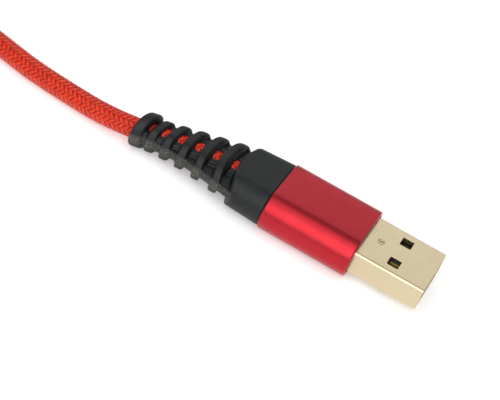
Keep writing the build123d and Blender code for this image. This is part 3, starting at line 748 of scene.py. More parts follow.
def skin(rings, closed=False, caps=True):
    """Faces joining equal rings in order; closed joins the last ring to the first."""
    count = len(rings[0])
    faces = []
    last = len(rings) if closed else len(rings) - 1
    for ring in range(last):
        a = ring * count
        b = (ring + 1) % len(rings) * count
        for i in range(count):
            j = (i + 1) % count
            faces.append((a + i, a + j, b + j, b + i))
    if not closed and caps:
        faces.append(tuple(range(count))[::-1])
        faces.append(tuple((len(rings) - 1) * count + i for i in range(count)))
    return [point for ring in rings for point in ring], faces


def rim_profile(front, rear, wall, bevel, steps=4):
    """(depth, inset) pairs round the wall's section: rounded outer edges, plain bore."""
    pairs = [(front, wall)]
    for step in range(steps, -1, -1):
        angle = pi / 2 * step / steps
        pairs.append((front + bevel * (1 - sin(angle)), bevel * (1 - cos(angle))))
    return pairs + [(front + rear - depth, inset) for depth, inset in reversed(pairs)]


def sleeve_piece(plug):
    """Anodised tube standing for the CAD sleeve."""
    half_width = plug.sleeve.y / 2
    half_height = plug.sleeve.z / 2
    rings = []
    for depth, inset in rim_profile(plug.sleeve_front, plug.sleeve_rear, SLEEVE_WALL, SLEEVE_BEVEL):
        outline = stadium(half_width - inset, half_height - inset)
        rings.append([plug.at(depth, side, height) for side, height in outline])
    points, faces = skin(rings, closed=True)
    made = mesh_object(plug.prefix + "_anodised_sleeve", points, faces, anodised, 50)
    print(made.name, len(made.data.polygons), "faces")
    return made


sleeve_a = sleeve_piece(plug_a)
sleeve_c = sleeve_piece(plug_c)

# %% [markdown]
# ## The USB-A shell
# A strip of steel is folded into a box, its ends meeting in a seam underneath. It has
# two windows above and two below, for the socket's springs, and a small round dimple.
# The box starts as a skin of rounded rectangles; the windows, seam and dimple are cut
# with boolean modifiers, and a bevel then softens every stamped edge. The dimple is
# pressed a trace deeper than in the CAD model, so that its rim catches the light.

# %% USB-A shell
SHEET = 0.3 * MM
SHELL_CORNER = 0.55 * MM
WINDOW_DEPTH = 6.63 * MM
WINDOW_LENGTH = 2.07 * MM
WINDOW_WIDTH = 2.24 * MM
WINDOW_SIDE = 3.1 * MM
DIMPLE_DEPTH = 10.4 * MM
DIMPLE_RADIUS = 1.4 * MM
DIMPLE_SINK = 0.22 * MM
SEAM = 0.1 * MM
SEAM_CORNER = 0.02 * MM
WINDOW_CORNER = 0.22 * MM
CUT_BELOW = -1.0 * MM
CUT_ABOVE = 9.0 * MM
STAMPED_EDGE = 0.06 * MM


def rounded_rectangle(half_width, half_height, corner, steps=8):
    """Closed outline as (side, height) points, anticlockwise from the right."""
    points = []
    for quarter in range(4):
        across = half_width - corner if quarter in (0, 3) else corner - half_width
        level = half_height - corner if quarter in (0, 1) else corner - half_height
        for step in range(steps + 1):
            angle = pi / 2 * (quarter + step / steps)
            points.append((across + corner * cos(angle), level + corner * sin(angle)))
    return points


def upright_prism(name, centre, half_length, half_width, low, high, corner):
    """Rounded rectangular block that stands on a level plane, used as a cutter."""
    outline = rounded_rectangle(half_length, half_width, corner, 4)
    rings = [[(centre.x + x, centre.y + y, z) for x, y in outline] for z in (low, high)]
    points, faces = skin(rings)
    return mesh_object(name, points, faces)


def cut(made, *cutters):
    """Subtracts cutters from a piece and deletes them."""
    for number, cutter in enumerate(cutters):
        boolean = made.modifiers.new(f"cut_{number}", "BOOLEAN")
        boolean.operation = "DIFFERENCE"
        boolean.solver = "EXACT"
        boolean.object = cutter
    bake_modifiers(made)
    scrap(*cutters)
    return made


def soften(made, width, angle=35, segments=2):
    """Bevels the edges that are sharper than an angle, and shades the piece."""
    bevel = made.modifiers.new("edges", "BEVEL")
    bevel.width = width
    bevel.segments = segments
    bevel.limit_method = "ANGLE"
    bevel.angle_limit = radians(angle)
    bake_modifiers(made)
    made.data.shade_smooth()
    made.data.set_sharp_from_angle(angle=radians(50))
    level = made.modifiers.new("flat_faces_stay_flat", "WEIGHTED_NORMAL")
    level.keep_sharp = True
    level.weight = 100
    return bake_modifiers(made)


print("shell sheet:", round(SHEET / MM, 2), "mm")

# %% [markdown]
# ### Cutting the shell
# The window cutters pass right through the box, so each makes one window above and one
# below. The seam's cutter ends half way up, and the dimple is the cap of a ball.

# %% Shell, windows, seam and dimple
shell_half_width = plug_a.shell.y / 2
shell_half_height = plug_a.shell.z / 2
shell_rings = []
for depth, inset in ((0, SHEET), (0, 0), (plug_a.shell.x, 0), (plug_a.shell.x, SHEET)):
    outline = rounded_rectangle(
        shell_half_width - inset, shell_half_height - inset, SHELL_CORNER - inset
    )
    shell_rings.append([plug_a.at(depth, side, height) for side, height in outline])
points, faces = skin(shell_rings, closed=True)
shell_a = mesh_object("usb_a_gold_shell", points, faces, gold)
windows = [
    upright_prism(
        "window", plug_a.at(WINDOW_DEPTH, side, 0), WINDOW_LENGTH / 2, WINDOW_WIDTH / 2,
        CUT_BELOW, CUT_ABOVE, WINDOW_CORNER,
    )
    for side in (-WINDOW_SIDE, WINDOW_SIDE)
]
seam = upright_prism(
    "seam", plug_a.at(plug_a.shell.x / 2, 0, 0), plug_a.shell.x, SEAM / 2,
    CUT_BELOW, plug_a.axis, SEAM_CORNER,
)
bpy.ops.mesh.primitive_uv_sphere_add(
    segments=48, ring_count=32, radius=DIMPLE_RADIUS,
    location=plug_a.at(DIMPLE_DEPTH, 0, shell_half_height + DIMPLE_RADIUS - DIMPLE_SINK),
)
dimple = bpy.context.object
cut(shell_a, *windows, seam, dimple)
soften(shell_a, STAMPED_EDGE)
shell_a.data.materials.clear()
shell_a.data.materials.append(gold)
print(shell_a.name, len(shell_a.data.polygons), "faces")

# %% [markdown]
# ## The USB-C shell
# Deep drawn from one disc of nickel-plated steel, so it has no seam: a short oval tube with
# a rolled mouth. The same rim profile as the sleeves, thinner.

# %% USB-C shell
C_SHELL_WALL = 0.2 * MM
C_SHELL_BEVEL = 0.09 * MM
shell_rings = []
for depth, inset in rim_profile(0, plug_c.shell.x, C_SHELL_WALL, C_SHELL_BEVEL):
    outline = stadium(plug_c.shell.y / 2 - inset, plug_c.shell.z / 2 - inset, 20, 4)
    shell_rings.append([plug_c.at(depth, side, height) for side, height in outline])
points, faces = skin(shell_rings, closed=True)
shell_c = mesh_object("usb_c_steel_shell", points, faces, nickel, 50)
print(shell_c.name, len(shell_c.data.polygons), "faces")

# %% [markdown]
# ## The strain reliefs
# Each boot is one moulding: a spigot in the sleeve, a tapered block with a rounded back,
# five hoops that bow towards the cord, a flat web whose edges are the side rails, a core
# round the cord, and an end collar. It could be cut from one block, but it is easier to
# build up: each part is a simple body, and a voxel remesh melts them into one skin with
# soft inner corners, as a mould gives. The bore for the cord is cut last.

# %% Boot sizes
BLOCK_INSET = 0.5 * MM
BLOCK_LENGTH = 6.2 * MM
BLOCK_TAPER = 0.5 * MM
BOW_RADIUS = 15.0 * MM
HOOP_COUNT = 5
FIRST_HOOP = 3.0 * MM
HOOP_PITCH = 3.9 * MM
PITCH_CLOSING = 0.14 * MM
WIDTH_TAPER = 1.25
HEIGHT_TAPER = 1.5
LEAST_WIDTH = 6.0 * MM
LEAST_HEIGHT = 5.1 * MM


def hoop_run(number):
    """Distance of a hoop's ends behind the block."""
    step = number - 1
    return FIRST_HOOP + HOOP_PITCH * step - PITCH_CLOSING * step**2


SLOTTED_LENGTH = hoop_run(HOOP_COUNT + 1)


def relief_size(run, width, height):
    """Width and height of the boot at a run behind its block."""
    left = 1 - run / SLOTTED_LENGTH
    wide = LEAST_WIDTH + (width - LEAST_WIDTH) * left**WIDTH_TAPER
    high = LEAST_HEIGHT + (height - LEAST_HEIGHT) * left**HEIGHT_TAPER
    return wide, high


def boot_size(plug):
    """Width and height of a boot's block at its front, and at its rear."""
    width = plug.sleeve.y - BLOCK_INSET
    height = plug.sleeve.z - BLOCK_INSET
    return (width, height), (width - 2 * BLOCK_TAPER, height - BLOCK_TAPER)


print("slotted length:", round(SLOTTED_LENGTH / MM, 2), "mm")

# %% [markdown]
# ### One hoop
# The hoops differ only in size, so one shape serves them all: a plate, 1 m wide and
# high, that is scaled to each place. Its edges are rounded for a hoop of common width.

# %% Unit hoop
HOOP_THICKNESS = 1.5 * MM
HOOP_EDGE = 0.4 * MM
HOOP_COMMON_WIDTH = 11 * MM
HOOP_ASPECT = 1.75
EDGE_STEPS = 4


def unit_hoop():
    """Solid stadium plate, 1 m wide and high, with rounded edges."""
    half = HOOP_THICKNESS / 2
    rings = []
    for step in range(2 * EDGE_STEPS + 1):
        angle = pi / 2 * step / EDGE_STEPS
        if step <= EDGE_STEPS:
            along = half - HOOP_EDGE * (1 - cos(angle))
        else:
            along = HOOP_EDGE * (1 + cos(angle)) - half
        inset = HOOP_EDGE * (1 - sin(angle))
        shrink = 1 - 2 * inset / HOOP_COMMON_WIDTH
        outline = stadium(0.5, 0.5 / HOOP_ASPECT, 24, 6)
        rings.append([(along, y * shrink, z * HOOP_ASPECT * shrink) for y, z in outline])
    points, faces = skin(rings)
    return mesh_object("unit_hoop", points, faces)


hoop_shape = unit_hoop()
print("unit hoop:", len(hoop_shape.data.polygons), "faces")

# %% [markdown]
# ### The row of hoops
# The hoops repeat by a rule, so Geometry Nodes place them. A mesh line gives one point
# per hoop, and its index gives the hoop's distance, width and height by the same
# formulas as above. The plate is set and scaled at each point, and a last Set Position
# bows it: the further a vertex is from the middle, the less it is pushed back.

# %% Hoop nodes


def hoop_tree():
    """Node group: hoops along -X from the block, sized by the taper and bowed."""
    tree = bpy.data.node_groups.new("bowed_hoops", "GeometryNodeTree")
    floats = ("First", "Pitch", "Closing", "Bow Radius", "Block Width", "Block Height")
    tree.interface.new_socket("Geometry", in_out="OUTPUT", socket_type="NodeSocketGeometry")
    tree.interface.new_socket("Hoop", in_out="INPUT", socket_type="NodeSocketObject")
    tree.interface.new_socket("Count", in_out="INPUT", socket_type="NodeSocketInt")
    for name in floats:
        tree.interface.new_socket(name, in_out="INPUT", socket_type="NodeSocketFloat")
    tree.interface.new_socket("Material", in_out="INPUT", socket_type="NodeSocketMaterial")
    given = tree.nodes.new("NodeGroupInput").outputs
    index = add(tree, "GeometryNodeInputIndex").outputs[0]
    square = add(tree, MATH, {0: index, 1: index}, operation="MULTIPLY").outputs[0]
    slowing = add(tree, MATH, {0: square, 1: given["Closing"]}, operation="MULTIPLY").outputs[0]
    steady = add(
        tree, MATH, {0: index, 1: given["Pitch"], 2: given["First"]}, operation="MULTIPLY_ADD"
    ).outputs[0]
    run = add(tree, MATH, {0: steady, 1: slowing}, operation="SUBTRACT").outputs[0]
    gone = add(tree, MATH, {0: run, 1: SLOTTED_LENGTH}, operation="DIVIDE").outputs[0]
    left = add(tree, MATH, {0: 1.0, 1: gone}, operation="SUBTRACT").outputs[0]
    sizes = []
    for block_size, least, taper in (
        ("Block Width", LEAST_WIDTH, WIDTH_TAPER),
        ("Block Height", LEAST_HEIGHT, HEIGHT_TAPER),
    ):
        spare = add(tree, MATH, {0: given[block_size], 1: least}, operation="SUBTRACT").outputs[0]
        share = add(tree, MATH, {0: left, 1: taper}, operation="POWER").outputs[0]
        size = add(tree, MATH, {0: share, 1: spare, 2: least}, operation="MULTIPLY_ADD").outputs[0]
        sizes.append(size)
    wide, high = sizes
    behind = add(tree, MATH, {0: run, 1: -1.0}, operation="MULTIPLY").outputs[0]
    place = add(tree, "ShaderNodeCombineXYZ", {0: behind}).outputs[0]
    scale = add(tree, "ShaderNodeCombineXYZ", {0: 1.0, 1: wide, 2: high}).outputs[0]
    points = add(tree, "GeometryNodeMeshLine", {"Count": given["Count"]}).outputs[0]
    moved = add(
        tree, "GeometryNodeSetPosition", {"Geometry": points, "Position": place}
    ).outputs[0]
    hoop = add(tree, "GeometryNodeObjectInfo", {"Object": given["Hoop"]}).outputs["Geometry"]
    placed = add(
        tree, "GeometryNodeInstanceOnPoints", {"Points": moved, "Instance": hoop, "Scale": scale}
    ).outputs[0]
    real = add(tree, "GeometryNodeRealizeInstances", {0: placed}).outputs[0]
    position = add(tree, "GeometryNodeInputPosition").outputs[0]
    here = add(tree, "ShaderNodeSeparateXYZ", {0: position}).outputs
    on_axis = add(tree, "ShaderNodeCombineXYZ", {0: here[0]}).outputs[0]
    own_point = add(
        tree, "GeometryNodeSampleNearest", {"Geometry": moved, "Sample Position": on_axis}
    ).outputs[0]
    half_wide = add(tree, MATH, {0: wide, 1: 0.5}, operation="MULTIPLY").outputs[0]
    own_half = add(
        tree, "GeometryNodeSampleIndex", {"Geometry": moved, "Value": half_wide, "Index": own_point}
    ).outputs[0]
    bow = given["Bow Radius"]
    bow_squared = add(tree, MATH, {0: bow, 1: bow}, operation="MULTIPLY").outputs[0]
    depths = []
    for side in (here[1], own_half):
        side_squared = add(tree, MATH, {0: side, 1: side}, operation="MULTIPLY").outputs[0]
        rest = add(tree, MATH, {0: bow_squared, 1: side_squared}, operation="SUBTRACT").outputs[0]
        depths.append(add(tree, MATH, {0: rest}, operation="SQRT").outputs[0])
    push = add(tree, MATH, {0: depths[1], 1: depths[0]}, operation="SUBTRACT").outputs[0]
    shift = add(tree, "ShaderNodeCombineXYZ", {0: push}).outputs[0]
    bowed = add(tree, "GeometryNodeSetPosition", {"Geometry": real, "Offset": shift}).outputs[0]
    painted = add(
        tree, "GeometryNodeSetMaterial", {"Geometry": bowed, "Material": given["Material"]}
    ).outputs[0]
    add(tree, "NodeGroupOutput", {0: painted})
    return tree


hoops_group = hoop_tree()


def hoops_mesh(width, height):
    """Hoops of one strain relief, as a plain mesh."""
    holder = mesh_object("hoops", [(0, 0, 0)], [])
    modifier = holder.modifiers.new("hoops", "NODES")
    modifier.node_group = hoops_group
    values = {
        "Hoop": hoop_shape, "Count": HOOP_COUNT, "First": FIRST_HOOP, "Pitch": HOOP_PITCH,
        "Closing": PITCH_CLOSING, "Bow Radius": BOW_RADIUS, "Block Width": width,
        "Block Height": height, "Material": rubber,
    }
    for item in hoops_group.interface.items_tree:
        if item.item_type == "SOCKET" and item.in_out == "INPUT":
            modifier[item.identifier] = values[item.name]
    mesh = evaluated_copy(holder)
    scrap(holder)
    return mesh


print("hoop nodes:", len(hoops_group.nodes))

# %% [markdown]
# ### The block
# The block's width and height shrink a little towards the cord, and its back is rounded
# as seen from above, by the same radius that the hoops are bowed with. So it starts as a
# tapered body that is too long, and what lies outside an upright drum is cut away.

# %% Block
BLOCK_STATION = 0.4 * MM
BLOCK_ROUNDING = 0.3 * MM
BLOCK_EDGE = 0.35 * MM
DRUM_SIDES = 160
CLOSER_SHARES = (0.004, 0.012, 0.025)


def even(begin, end, step):
    """Evenly spaced values from begin down or up to end, closer at both ends."""
    count = max(int(ceil(abs(end - begin) / step)), 4)
    values = [begin + (end - begin) * i / count for i in range(count + 1)]
    close = [(end - begin) * share for share in CLOSER_SHARES]
    values += [begin + gap for gap in close]
    values += [end - gap for gap in close]
    return sorted(values, reverse=end < begin)


def rounded_rings(stations, rounding):
    """Rings of a lengthwise body; its first and last edges are rounded off."""
    rings = []
    first, last = stations[0][0], stations[-1][0]
    for along, half_width, half_height in stations:
        from_end = min(abs(along - first), abs(along - last))
        inset = rounding - sqrt(max(rounding**2 - max(rounding - from_end, 0) ** 2, 0))
        outline = stadium(half_width - inset, half_height - inset, 20, 8)
        rings.append([(along, y, z) for y, z in outline])
    return rings


def block_mesh(width, height):
    """Tapered block whose back is rounded seen from above, with softened edges."""
    rear_half = width / 2 - BLOCK_TAPER
    crown = BOW_RADIUS - sqrt(BOW_RADIUS**2 - rear_half**2)
    stations = []
    for along in even(BLOCK_LENGTH, -crown, BLOCK_STATION):
        taper = BLOCK_TAPER * (BLOCK_LENGTH - along) / (BLOCK_LENGTH + crown)
        stations.append((along, width / 2 - taper, height / 2 - taper / 2))
    points, faces = skin(rounded_rings(stations, BLOCK_ROUNDING))
    block = mesh_object("block", points, faces)
    turns = [tau * i / DRUM_SIDES for i in range(DRUM_SIDES)]
    middle = BOW_RADIUS - crown
    drum_rings = [
        [(middle + BOW_RADIUS * cos(angle), BOW_RADIUS * sin(angle), level) for angle in turns]
        for level in (-height, -height / 2, height / 2, height)
    ]
    points, faces = skin(drum_rings)
    drum = mesh_object("drum", points, faces)
    keep = block.modifiers.new("dome", "BOOLEAN")
    keep.operation = "INTERSECT"
    keep.solver = "EXACT"
    keep.object = drum
    bake_modifiers(block)
    scrap(drum)
    soften(block, BLOCK_EDGE, 40, 3)
    return block


print("block ready to be made,", round(BLOCK_LENGTH / MM, 1), "mm long")

# %% [markdown]
# ### Web, core, collar and spigot
# The web and the core are lengthwise bars, the one wide and flat, the other narrow and
# deep. The core hides the cord's sides, so only its crest shows between the hoops. The
# collar is a short round bar, a little above the middle.

# %% Bars of the boot
WEB_HALF = 0.8 * MM
WEB_INSET = 0.35 * MM
CORE_HALF_WIDTH = 2.6 * MM
CORE_HALF_HEIGHT = 1.5 * MM
BAR_CORNER = 0.25 * MM
BAR_START = 0.5 * MM
BAR_RINGS = 40
COLLAR_FRONT = 18.1 * MM
COLLAR_LENGTH = 1.9 * MM
COLLAR_DIAMETER = 6.9 * MM
COLLAR_RISE = 0.4 * MM
COLLAR_ROUNDING = 0.35 * MM
COLLAR_SIDES = 64
SPIGOT_LENGTH = 2.3 * MM
SPIGOT_ROOM = 0.05 * MM
SPIGOT_OVERLAP = 1.0 * MM


def spine_mesh(name, half_width_at, half_height):
    """Lengthwise bar behind the block: half_width_at gives its half width at a run."""
    rings = []
    for i in range(BAR_RINGS + 1):
        run = -BAR_START + (SLOTTED_LENGTH + BAR_START) * i / BAR_RINGS
        outline = rounded_rectangle(half_width_at(max(run, 0)), half_height, BAR_CORNER, 4)
        rings.append([(-run, y, z) for y, z in outline])
    points, faces = skin(rings)
    return mesh_object(name, points, faces)


def collar_mesh(steps=6):
    """Round bar with rounded ends, raised above the axis."""
    begin, radius = -COLLAR_FRONT, COLLAR_DIAMETER / 2
    profile = []
    for step in range(steps + 1):
        angle = pi / 2 * step / steps
        inset = COLLAR_ROUNDING * (1 - sin(angle))
        profile.append((begin - COLLAR_ROUNDING * (1 - cos(angle)), radius - inset))
    profile += [(2 * begin - COLLAR_LENGTH - along, r) for along, r in reversed(profile)]
    turns = [tau * i / COLLAR_SIDES for i in range(COLLAR_SIDES)]
    rings = [
        [(along, r * cos(angle), r * sin(angle) + COLLAR_RISE) for angle in turns]
        for along, r in profile
    ]
    points, faces = skin(rings)
    return mesh_object("collar", points, faces)


def spigot_mesh(plug):
    """Plain bar that fills the sleeve's rear end."""
    half_width = plug.sleeve.y / 2 - SLEEVE_WALL - SPIGOT_ROOM
    half_height = plug.sleeve.z / 2 - SLEEVE_WALL - SPIGOT_ROOM
    outline = stadium(half_width, half_height, 20, 8)
    ends = (BLOCK_LENGTH + SPIGOT_LENGTH, BLOCK_LENGTH - SPIGOT_OVERLAP)
    points, faces = skin([[(along, y, z) for y, z in outline] for along in ends])
    return mesh_object("spigot", points, faces)


print("core:", round(2 * CORE_HALF_WIDTH / MM, 1), "mm wide")

# %% [markdown]
# ### One skin
# The parts are made straight, then every vertex is moved to the plug and bent aside and
# down, more and more towards the cord. The Remesh modifier lays a voxel skin round them
# all, and a little smoothing takes the steps out of it.

# %% Joined, bent and remeshed
RELIEF_VOXEL = 0.15 * MM
BEND_A = (1.85 * MM, 0.7 * MM)
BEND_C = (0.0, 0.0)


def bent_place(plug, point, sway, droop):
    """Where a point of the straight boot goes once the boot is bent."""
    run = -point.x
    behind = max(run, 0)
    bend = (behind / SLOTTED_LENGTH) ** 2
    slope = 2 * sway * behind / SLOTTED_LENGTH**2
    depth = plug.sleeve_rear + BLOCK_LENGTH + run - slope * point.y
    return plug.at(depth, point.y - sway * bend, point.z - droop * bend)


def strain_relief_piece(plug, sway, droop):
    """One boot without its bore: parts joined, bent and remeshed into one skin."""
    front_size, rear_size = boot_size(plug)
    hoops = finish_mesh("hoops", hoops_mesh(*rear_size))
    web = spine_mesh("web", lambda run: relief_size(run, *rear_size)[0] / 2 - WEB_INSET, WEB_HALF)
    core = spine_mesh("core", lambda run: CORE_HALF_WIDTH, CORE_HALF_HEIGHT)
    parts = [block_mesh(*front_size), hoops, web, core, collar_mesh(), spigot_mesh(plug)]
    joined = bmesh.new()
    for part in parts:
        joined.from_mesh(part.data)
    for vertex in joined.verts:
        vertex.co = bent_place(plug, vertex.co, sway, droop)
    mesh = bpy.data.meshes.new(plug.prefix + "_rubber_boot")
    joined.to_mesh(mesh)
    joined.free()
    scrap(*parts)
    boot = finish_mesh(mesh.name, mesh)
    remesh = boot.modifiers.new("one_skin", "REMESH")
    remesh.mode = "VOXEL"
    remesh.voxel_size = RELIEF_VOXEL
    relax = boot.modifiers.new("relax", "SMOOTH")
    relax.factor = 0.5
    relax.iterations = 3
    return bake_modifiers(boot)


boot_a = strain_relief_piece(plug_a, *BEND_A)
boot_c = strain_relief_piece(plug_c, *BEND_C)
scrap(hoop_shape)
print("boots:", len(boot_a.data.polygons), len(boot_c.data.polygons), "faces")

# %% [markdown]
# ### Bore and pale edges
# The bore follows the cord, so the cutter is a plain tube round the cord's own line,
# with a little room. It is cut out of the finished skin. The dust attribute is then
# 1 along the outer edges of the web, where the colour gets pale grey specks, and fades
# out up and down and towards the block.

# %% Bores and pale edges
BORE_RADIUS = 2.02 * MM
BORE_SIDES = 48
BORE_STEP = 0.8 * MM
BORE_OVERRUN = 2 * MM
START_OVERRUN = 0.001 * MM
PALE_EDGE_BAND = 0.9 * MM
PALE_EDGE_WIDTH = 0.7 * MM
PALE_EDGE_START = 1.0 * MM
BOOT_LENGTH = BLOCK_LENGTH + COLLAR_FRONT + COLLAR_LENGTH


def bore_cutter(name, from_mark, to_mark):
    """Tube round the cord's line between two distances along it."""
    places = np.arange(from_mark, to_mark, BORE_STEP)
    line = resampled(raw_line, raw_length, places)
    side, rise = carried_frames(line)
    turns = [tau * i / BORE_SIDES for i in range(BORE_SIDES)]
    rings = [
        [centre + BORE_RADIUS * (cos(angle) * across + sin(angle) * upward) for angle in turns]
        for centre, across, upward in zip(line, side, rise)
    ]
    points, faces = skin(rings)
    return mesh_object(name, points, faces)


def mark_pale_edges(plug, boot, sway, droop):
    """Attribute that is 1 along the outer edges of the web, where the colour gets pale specks."""
    _, (width, height) = boot_size(plug)
    dust = []
    for vertex in boot.data.vertices:
        depth = plug.direction * (plug.tip - vertex.co.x)
        run = depth - plug.sleeve_rear - BLOCK_LENGTH
        bend = (max(run, 0) / SLOTTED_LENGTH) ** 2
        side = plug.direction * (vertex.co.y - plug.side) + sway * bend
        level = vertex.co.z - plug.axis + droop * bend
        wide, _ = relief_size(min(max(run, 0), SLOTTED_LENGTH), width, height)
        outer = eased((abs(side) - wide / 2 + PALE_EDGE_WIDTH) / PALE_EDGE_WIDTH)
        middle = eased(1.8 - 1.2 * abs(level) / PALE_EDGE_BAND)
        slotted = eased((run + PALE_EDGE_START) / (2 * PALE_EDGE_START))
        dust.append(outer * middle * slotted)
    boot.data.attributes.new("dust", "FLOAT", "POINT").data.foreach_set("value", dust)


for plug, boot, begin, end, sway, droop in (
    (plug_a, boot_a, -START_OVERRUN, BOOT_LENGTH + BORE_OVERRUN, *BEND_A),
    (plug_c, boot_c, CORD_LENGTH - BOOT_LENGTH - BORE_OVERRUN, CORD_LENGTH, *BEND_C),
):
    cut(boot, bore_cutter("bore", begin, end))
    mark_pale_edges(plug, boot, sway, droop)
    boot.data.materials.clear()
    boot.data.materials.append(rubber)
    boot.data.shade_smooth()
    boot.data.set_sharp_from_angle(angle=radians(50))
print("bored:", len(boot_a.data.polygons), len(boot_c.data.polygons), "faces")

# %% [markdown]
# ## The tie
# A woven hook-and-loop strap, wound once round one run of the hank and pressed onto
# itself on top, where its end overlaps. Its path is a rounded rectangle round the four
# turns, and the overlap climbs one thickness.

# %% Strap
TIE_WIDTH = 12.0 * MM
STRAP_THICKNESS = 0.55 * MM
STRAP_STEPS = 150
STRAP_START = 0.02
OVERLAP = 0.20
CLIMB = 0.08
STRAP_ROOM = 0.05 * MM
BUNDLE_CORNER = 1.5 * MM
END_STEPS = 3
END_THINNING = 0.5
END_ROUNDING = 0.6
bundle_half_width = TURN_PITCH * TURNS_ACROSS / 2
bundle_half_height = TURN_PITCH * LAYERS / 2
bundle_level = TIE_THICKNESS + bundle_half_height


def round_bundle(share, lift):
    """(sideways, height) on the rounded rectangle round the bundle, moved out by lift."""
    outline = rounded_rectangle(
        bundle_half_width + lift, bundle_half_height + lift, BUNDLE_CORNER + lift, 10
    )
    nexts = outline[1:] + outline[:1]
    sizes = [hypot(b[0] - a[0], b[1] - a[1]) for a, b in zip(outline, nexts)]
    left = (share % 1) * sum(sizes)
    for a, b, size in zip(outline, nexts, sizes):
        if left <= size:
            part = left / size
            return a[0] + (b[0] - a[0]) * part, a[1] + (b[1] - a[1]) * part
        left -= size
    return outline[0]


strap_rings = []
for i in range(STRAP_STEPS + 1):
    travelled = (1 + OVERLAP) * i / STRAP_STEPS
    climb = eased((travelled - 1 + CLIMB) / CLIMB) * STRAP_THICKNESS
    from_end = min(min(i, STRAP_STEPS - i) / END_STEPS, 1)
    half = STRAP_THICKNESS / 2 * (END_THINNING + (1 - END_THINNING) * from_end)
    middle = STRAP_ROOM + STRAP_THICKNESS / 2 + climb
    ring = []
    for along, level in rounded_rectangle(TIE_WIDTH / 2, half, END_ROUNDING * half, 3):
        side, height = round_bundle(STRAP_START + travelled, middle + level)
        ring.append((hank_x + along, hank_y - FOLD_RADIUS + side, bundle_level + height))
    strap_rings.append(ring)
points, faces = skin(strap_rings)
strap = mesh_object("hook_and_loop_strap", points, faces, None, 60)
print(strap.name, len(strap.data.polygons), "faces")

# %% [markdown]
# ### Woven strap
# Polyester webbing, black: a plain weave with ribs a third of a millimetre apart. A wave
# texture draws the ribs, and a fine noise stands for the fuzz between them; both give
# the colour and the bump. The dull sheen at grazing angles is that of a napped cloth.

# %% Strap material
RIB_PERIOD = 0.35 * MM
FUZZ_SIZE = 0.12 * MM
webbing, tree, shader = new_material("polyester_webbing_black", Roughness=0.85)
place = add(tree, "ShaderNodeTexCoord").outputs["Object"]
ribs = add(
    tree, "ShaderNodeTexWave",
    {"Vector": place, "Scale": pi / (10 * RIB_PERIOD), "Distortion": 1.2, "Detail": 1.0},
    bands_direction="X",
).outputs["Fac"]
fuzz = add(
    tree, "ShaderNodeTexNoise", {"Vector": place, "Scale": 1 / FUZZ_SIZE, "Detail": 3.0}
).outputs["Fac"]
half_ribs = add(tree, MATH, {0: ribs, 1: 0.5}, operation="MULTIPLY").outputs[0]
level = add(tree, MATH, {0: fuzz, 1: 0.5, 2: half_ribs}, operation="MULTIPLY_ADD").outputs[0]
ramp = add(tree, "ShaderNodeValToRGB", {0: level})
ramp.color_ramp.elements[0].position = 0.3
ramp.color_ramp.elements[0].color = linear("#0C0C0D")
ramp.color_ramp.elements[1].position = 0.8
ramp.color_ramp.elements[1].color = linear("#2C2C2E")
tree.links.new(ramp.outputs[0], shader.inputs["Base Color"])
shader.inputs["Sheen Weight"].default_value = 0.3
bump = add(tree, "ShaderNodeBump", {"Height": level, "Strength": 0.8, "Distance": 0.08 * MM})
tree.links.new(bump.outputs[0], shader.inputs["Normal"])
strap.data.materials.append(webbing)
print("material:", webbing.name)

# %% [markdown]
# ### Brushed loops
# The strap's faces are brushed into fine loops, for the hooks to hold. Drawn one by one
# they would be endless, so Geometry Nodes scatter one bent hair over the strap, turned
# at random from a fixed seed. The hair is as simple as can be: a three-sided hook.

# %% Loops by Geometry Nodes
HAIR_REACH = 0.12 * MM
HAIR_HEIGHT = 0.22 * MM
HAIR_RADIUS = 0.022 * MM
HAIR_BEND = 0.75 * pi
HAIRS_PER_SQUARE_METRE = 5.0e6


def loop_hair():
    """One bent hair: a thin three-sided hook."""
    sides = [(HAIR_RADIUS * cos(tau * i / 3), HAIR_RADIUS * sin(tau * i / 3)) for i in range(3)]
    rings = []
    for step in range(4):
        angle = HAIR_BEND * step / 3
        reach, height = HAIR_REACH * (1 - cos(angle)), HAIR_HEIGHT * sin(angle)
        rings.append([(reach, y, height + z) for y, z in sides])
    points, faces = skin(rings)
    return mesh_object("hair", points, faces)


hair = loop_hair()
scatter = bpy.data.node_groups.new("brushed_loops", "GeometryNodeTree")
scatter.interface.new_socket("Geometry", in_out="INPUT", socket_type="NodeSocketGeometry")
scatter.interface.new_socket("Geometry", in_out="OUTPUT", socket_type="NodeSocketGeometry")
scatter.interface.new_socket("Hair", in_out="INPUT", socket_type="NodeSocketObject")
scatter.interface.new_socket("Per Square Metre", in_out="INPUT", socket_type="NodeSocketFloat")
scatter.interface.new_socket("Material", in_out="INPUT", socket_type="NodeSocketMaterial")
given = scatter.nodes.new("NodeGroupInput").outputs
spread = add(
    scatter, "GeometryNodeDistributePointsOnFaces",
    {"Mesh": given["Geometry"], "Density": given["Per Square Metre"], "Seed": 7},
)
spin = add(
    scatter, "FunctionNodeRandomValue", {0: (0, 0, 0), 1: (0.5, 0.5, tau), "Seed": 3},
    data_type="FLOAT_VECTOR",
)
rotation = add(
    scatter, "FunctionNodeRotateEuler",
    {"Rotation": spread.outputs["Rotation"], "Rotate By": spin.outputs[0]}, space="LOCAL",
)
one_hair = add(scatter, "GeometryNodeObjectInfo", {"Object": given["Hair"]}).outputs["Geometry"]
hairs = add(
    scatter, "GeometryNodeInstanceOnPoints",
    {"Points": spread.outputs["Points"], "Instance": one_hair, "Rotation": rotation.outputs[0]},
)
real = add(scatter, "GeometryNodeRealizeInstances", {0: hairs.outputs[0]})
both = add(scatter, "GeometryNodeJoinGeometry")
scatter.links.new(given["Geometry"], both.inputs[0])
scatter.links.new(real.outputs[0], both.inputs[0])
painted = add(
    scatter, "GeometryNodeSetMaterial", {"Geometry": both.outputs[0], "Material": given["Material"]}
)
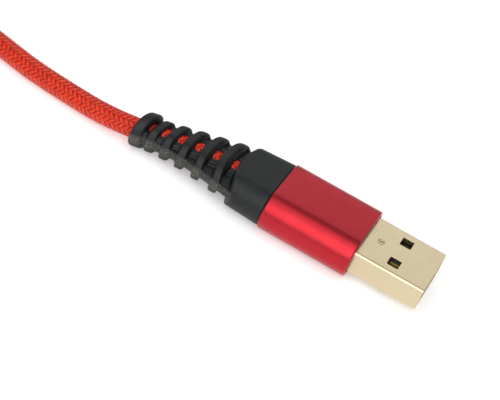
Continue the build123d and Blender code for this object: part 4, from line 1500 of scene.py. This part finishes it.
add(scatter, "NodeGroupOutput", {0: painted.outputs[0]})
modifier = strap.modifiers.new("loops", "NODES")
modifier.node_group = scatter
values = {"Hair": hair, "Per Square Metre": HAIRS_PER_SQUARE_METRE, "Material": webbing}
for item in scatter.interface.items_tree:
    if item.item_type == "SOCKET" and item.in_out == "INPUT" and item.name in values:
        modifier[item.identifier] = values[item.name]
bake_modifiers(strap)
scrap(hair)
print("strap with loops:", len(strap.data.polygons), "faces")

# %% [markdown]
# ## Dressing the CAD pieces
# The pieces that keep their CAD shape only need their finish: contacts, insulators,
# wires, the filling, the little board and its resistor.

# %% Materials on CAD nodes
CAD_FINISH = {
    "tongue": insulator, "housing": insulator, "inner_mould": filling,
    "contact": contact_gold, "contacts": contact_gold,
    "power_wire": pvc_red, "data_minus_wire": pvc_white, "data_plus_wire": pvc_green,
    "ground_wire": pvc_black, "drain_wire": tinned, "latches": nickel,
    "ground_springs": nickel, "board": board_green, "resistor": ceramic,
}
for name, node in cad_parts.items():
    endings = [ending for ending in CAD_FINISH if name.endswith(ending)]
    if endings:
        node.data.materials.clear()
        node.data.materials.append(CAD_FINISH[max(endings, key=len)])
print("finished CAD nodes")

# %% [markdown]
# ## Handing the pieces to the frame
# Each new piece rides on the cable's one body, and the CAD pieces that it stands for
# are hidden. A list gathers the pieces that are on the cord's far end.

# %% Ride and replace
STANDS_FOR = {
    shell_a: (("usb_a_shell",), "gold_plating"),
    sleeve_a: (("usb_a_sleeve",), "red_anodised"),
    boot_a: (("usb_a_strain_relief",), "black_rubber"),
    shell_c: (("usb_c_shell",), "stainless"),
    sleeve_c: (("usb_c_sleeve",), "red_anodised"),
    boot_c: (("usb_c_strain_relief",), "black_rubber"),
    strap: (("cord_tie",), "black_strap"),
    braided_cord: (("cord_lead", "cord_hank", "cord_tail"), "red_braid"),
}
for piece, (names, slot) in STANDS_FOR.items():
    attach(piece, "root")
    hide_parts(*names)

far_pieces = [shell_c, sleeve_c, boot_c, strap]
replaced = ("usb_c_shell", "usb_c_sleeve", "usb_c_strain_relief")
far_pieces += [
    node for name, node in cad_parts.items()
    if name.startswith("usb_c_") and name not in replaced
]

# %% Finish
print("finished")
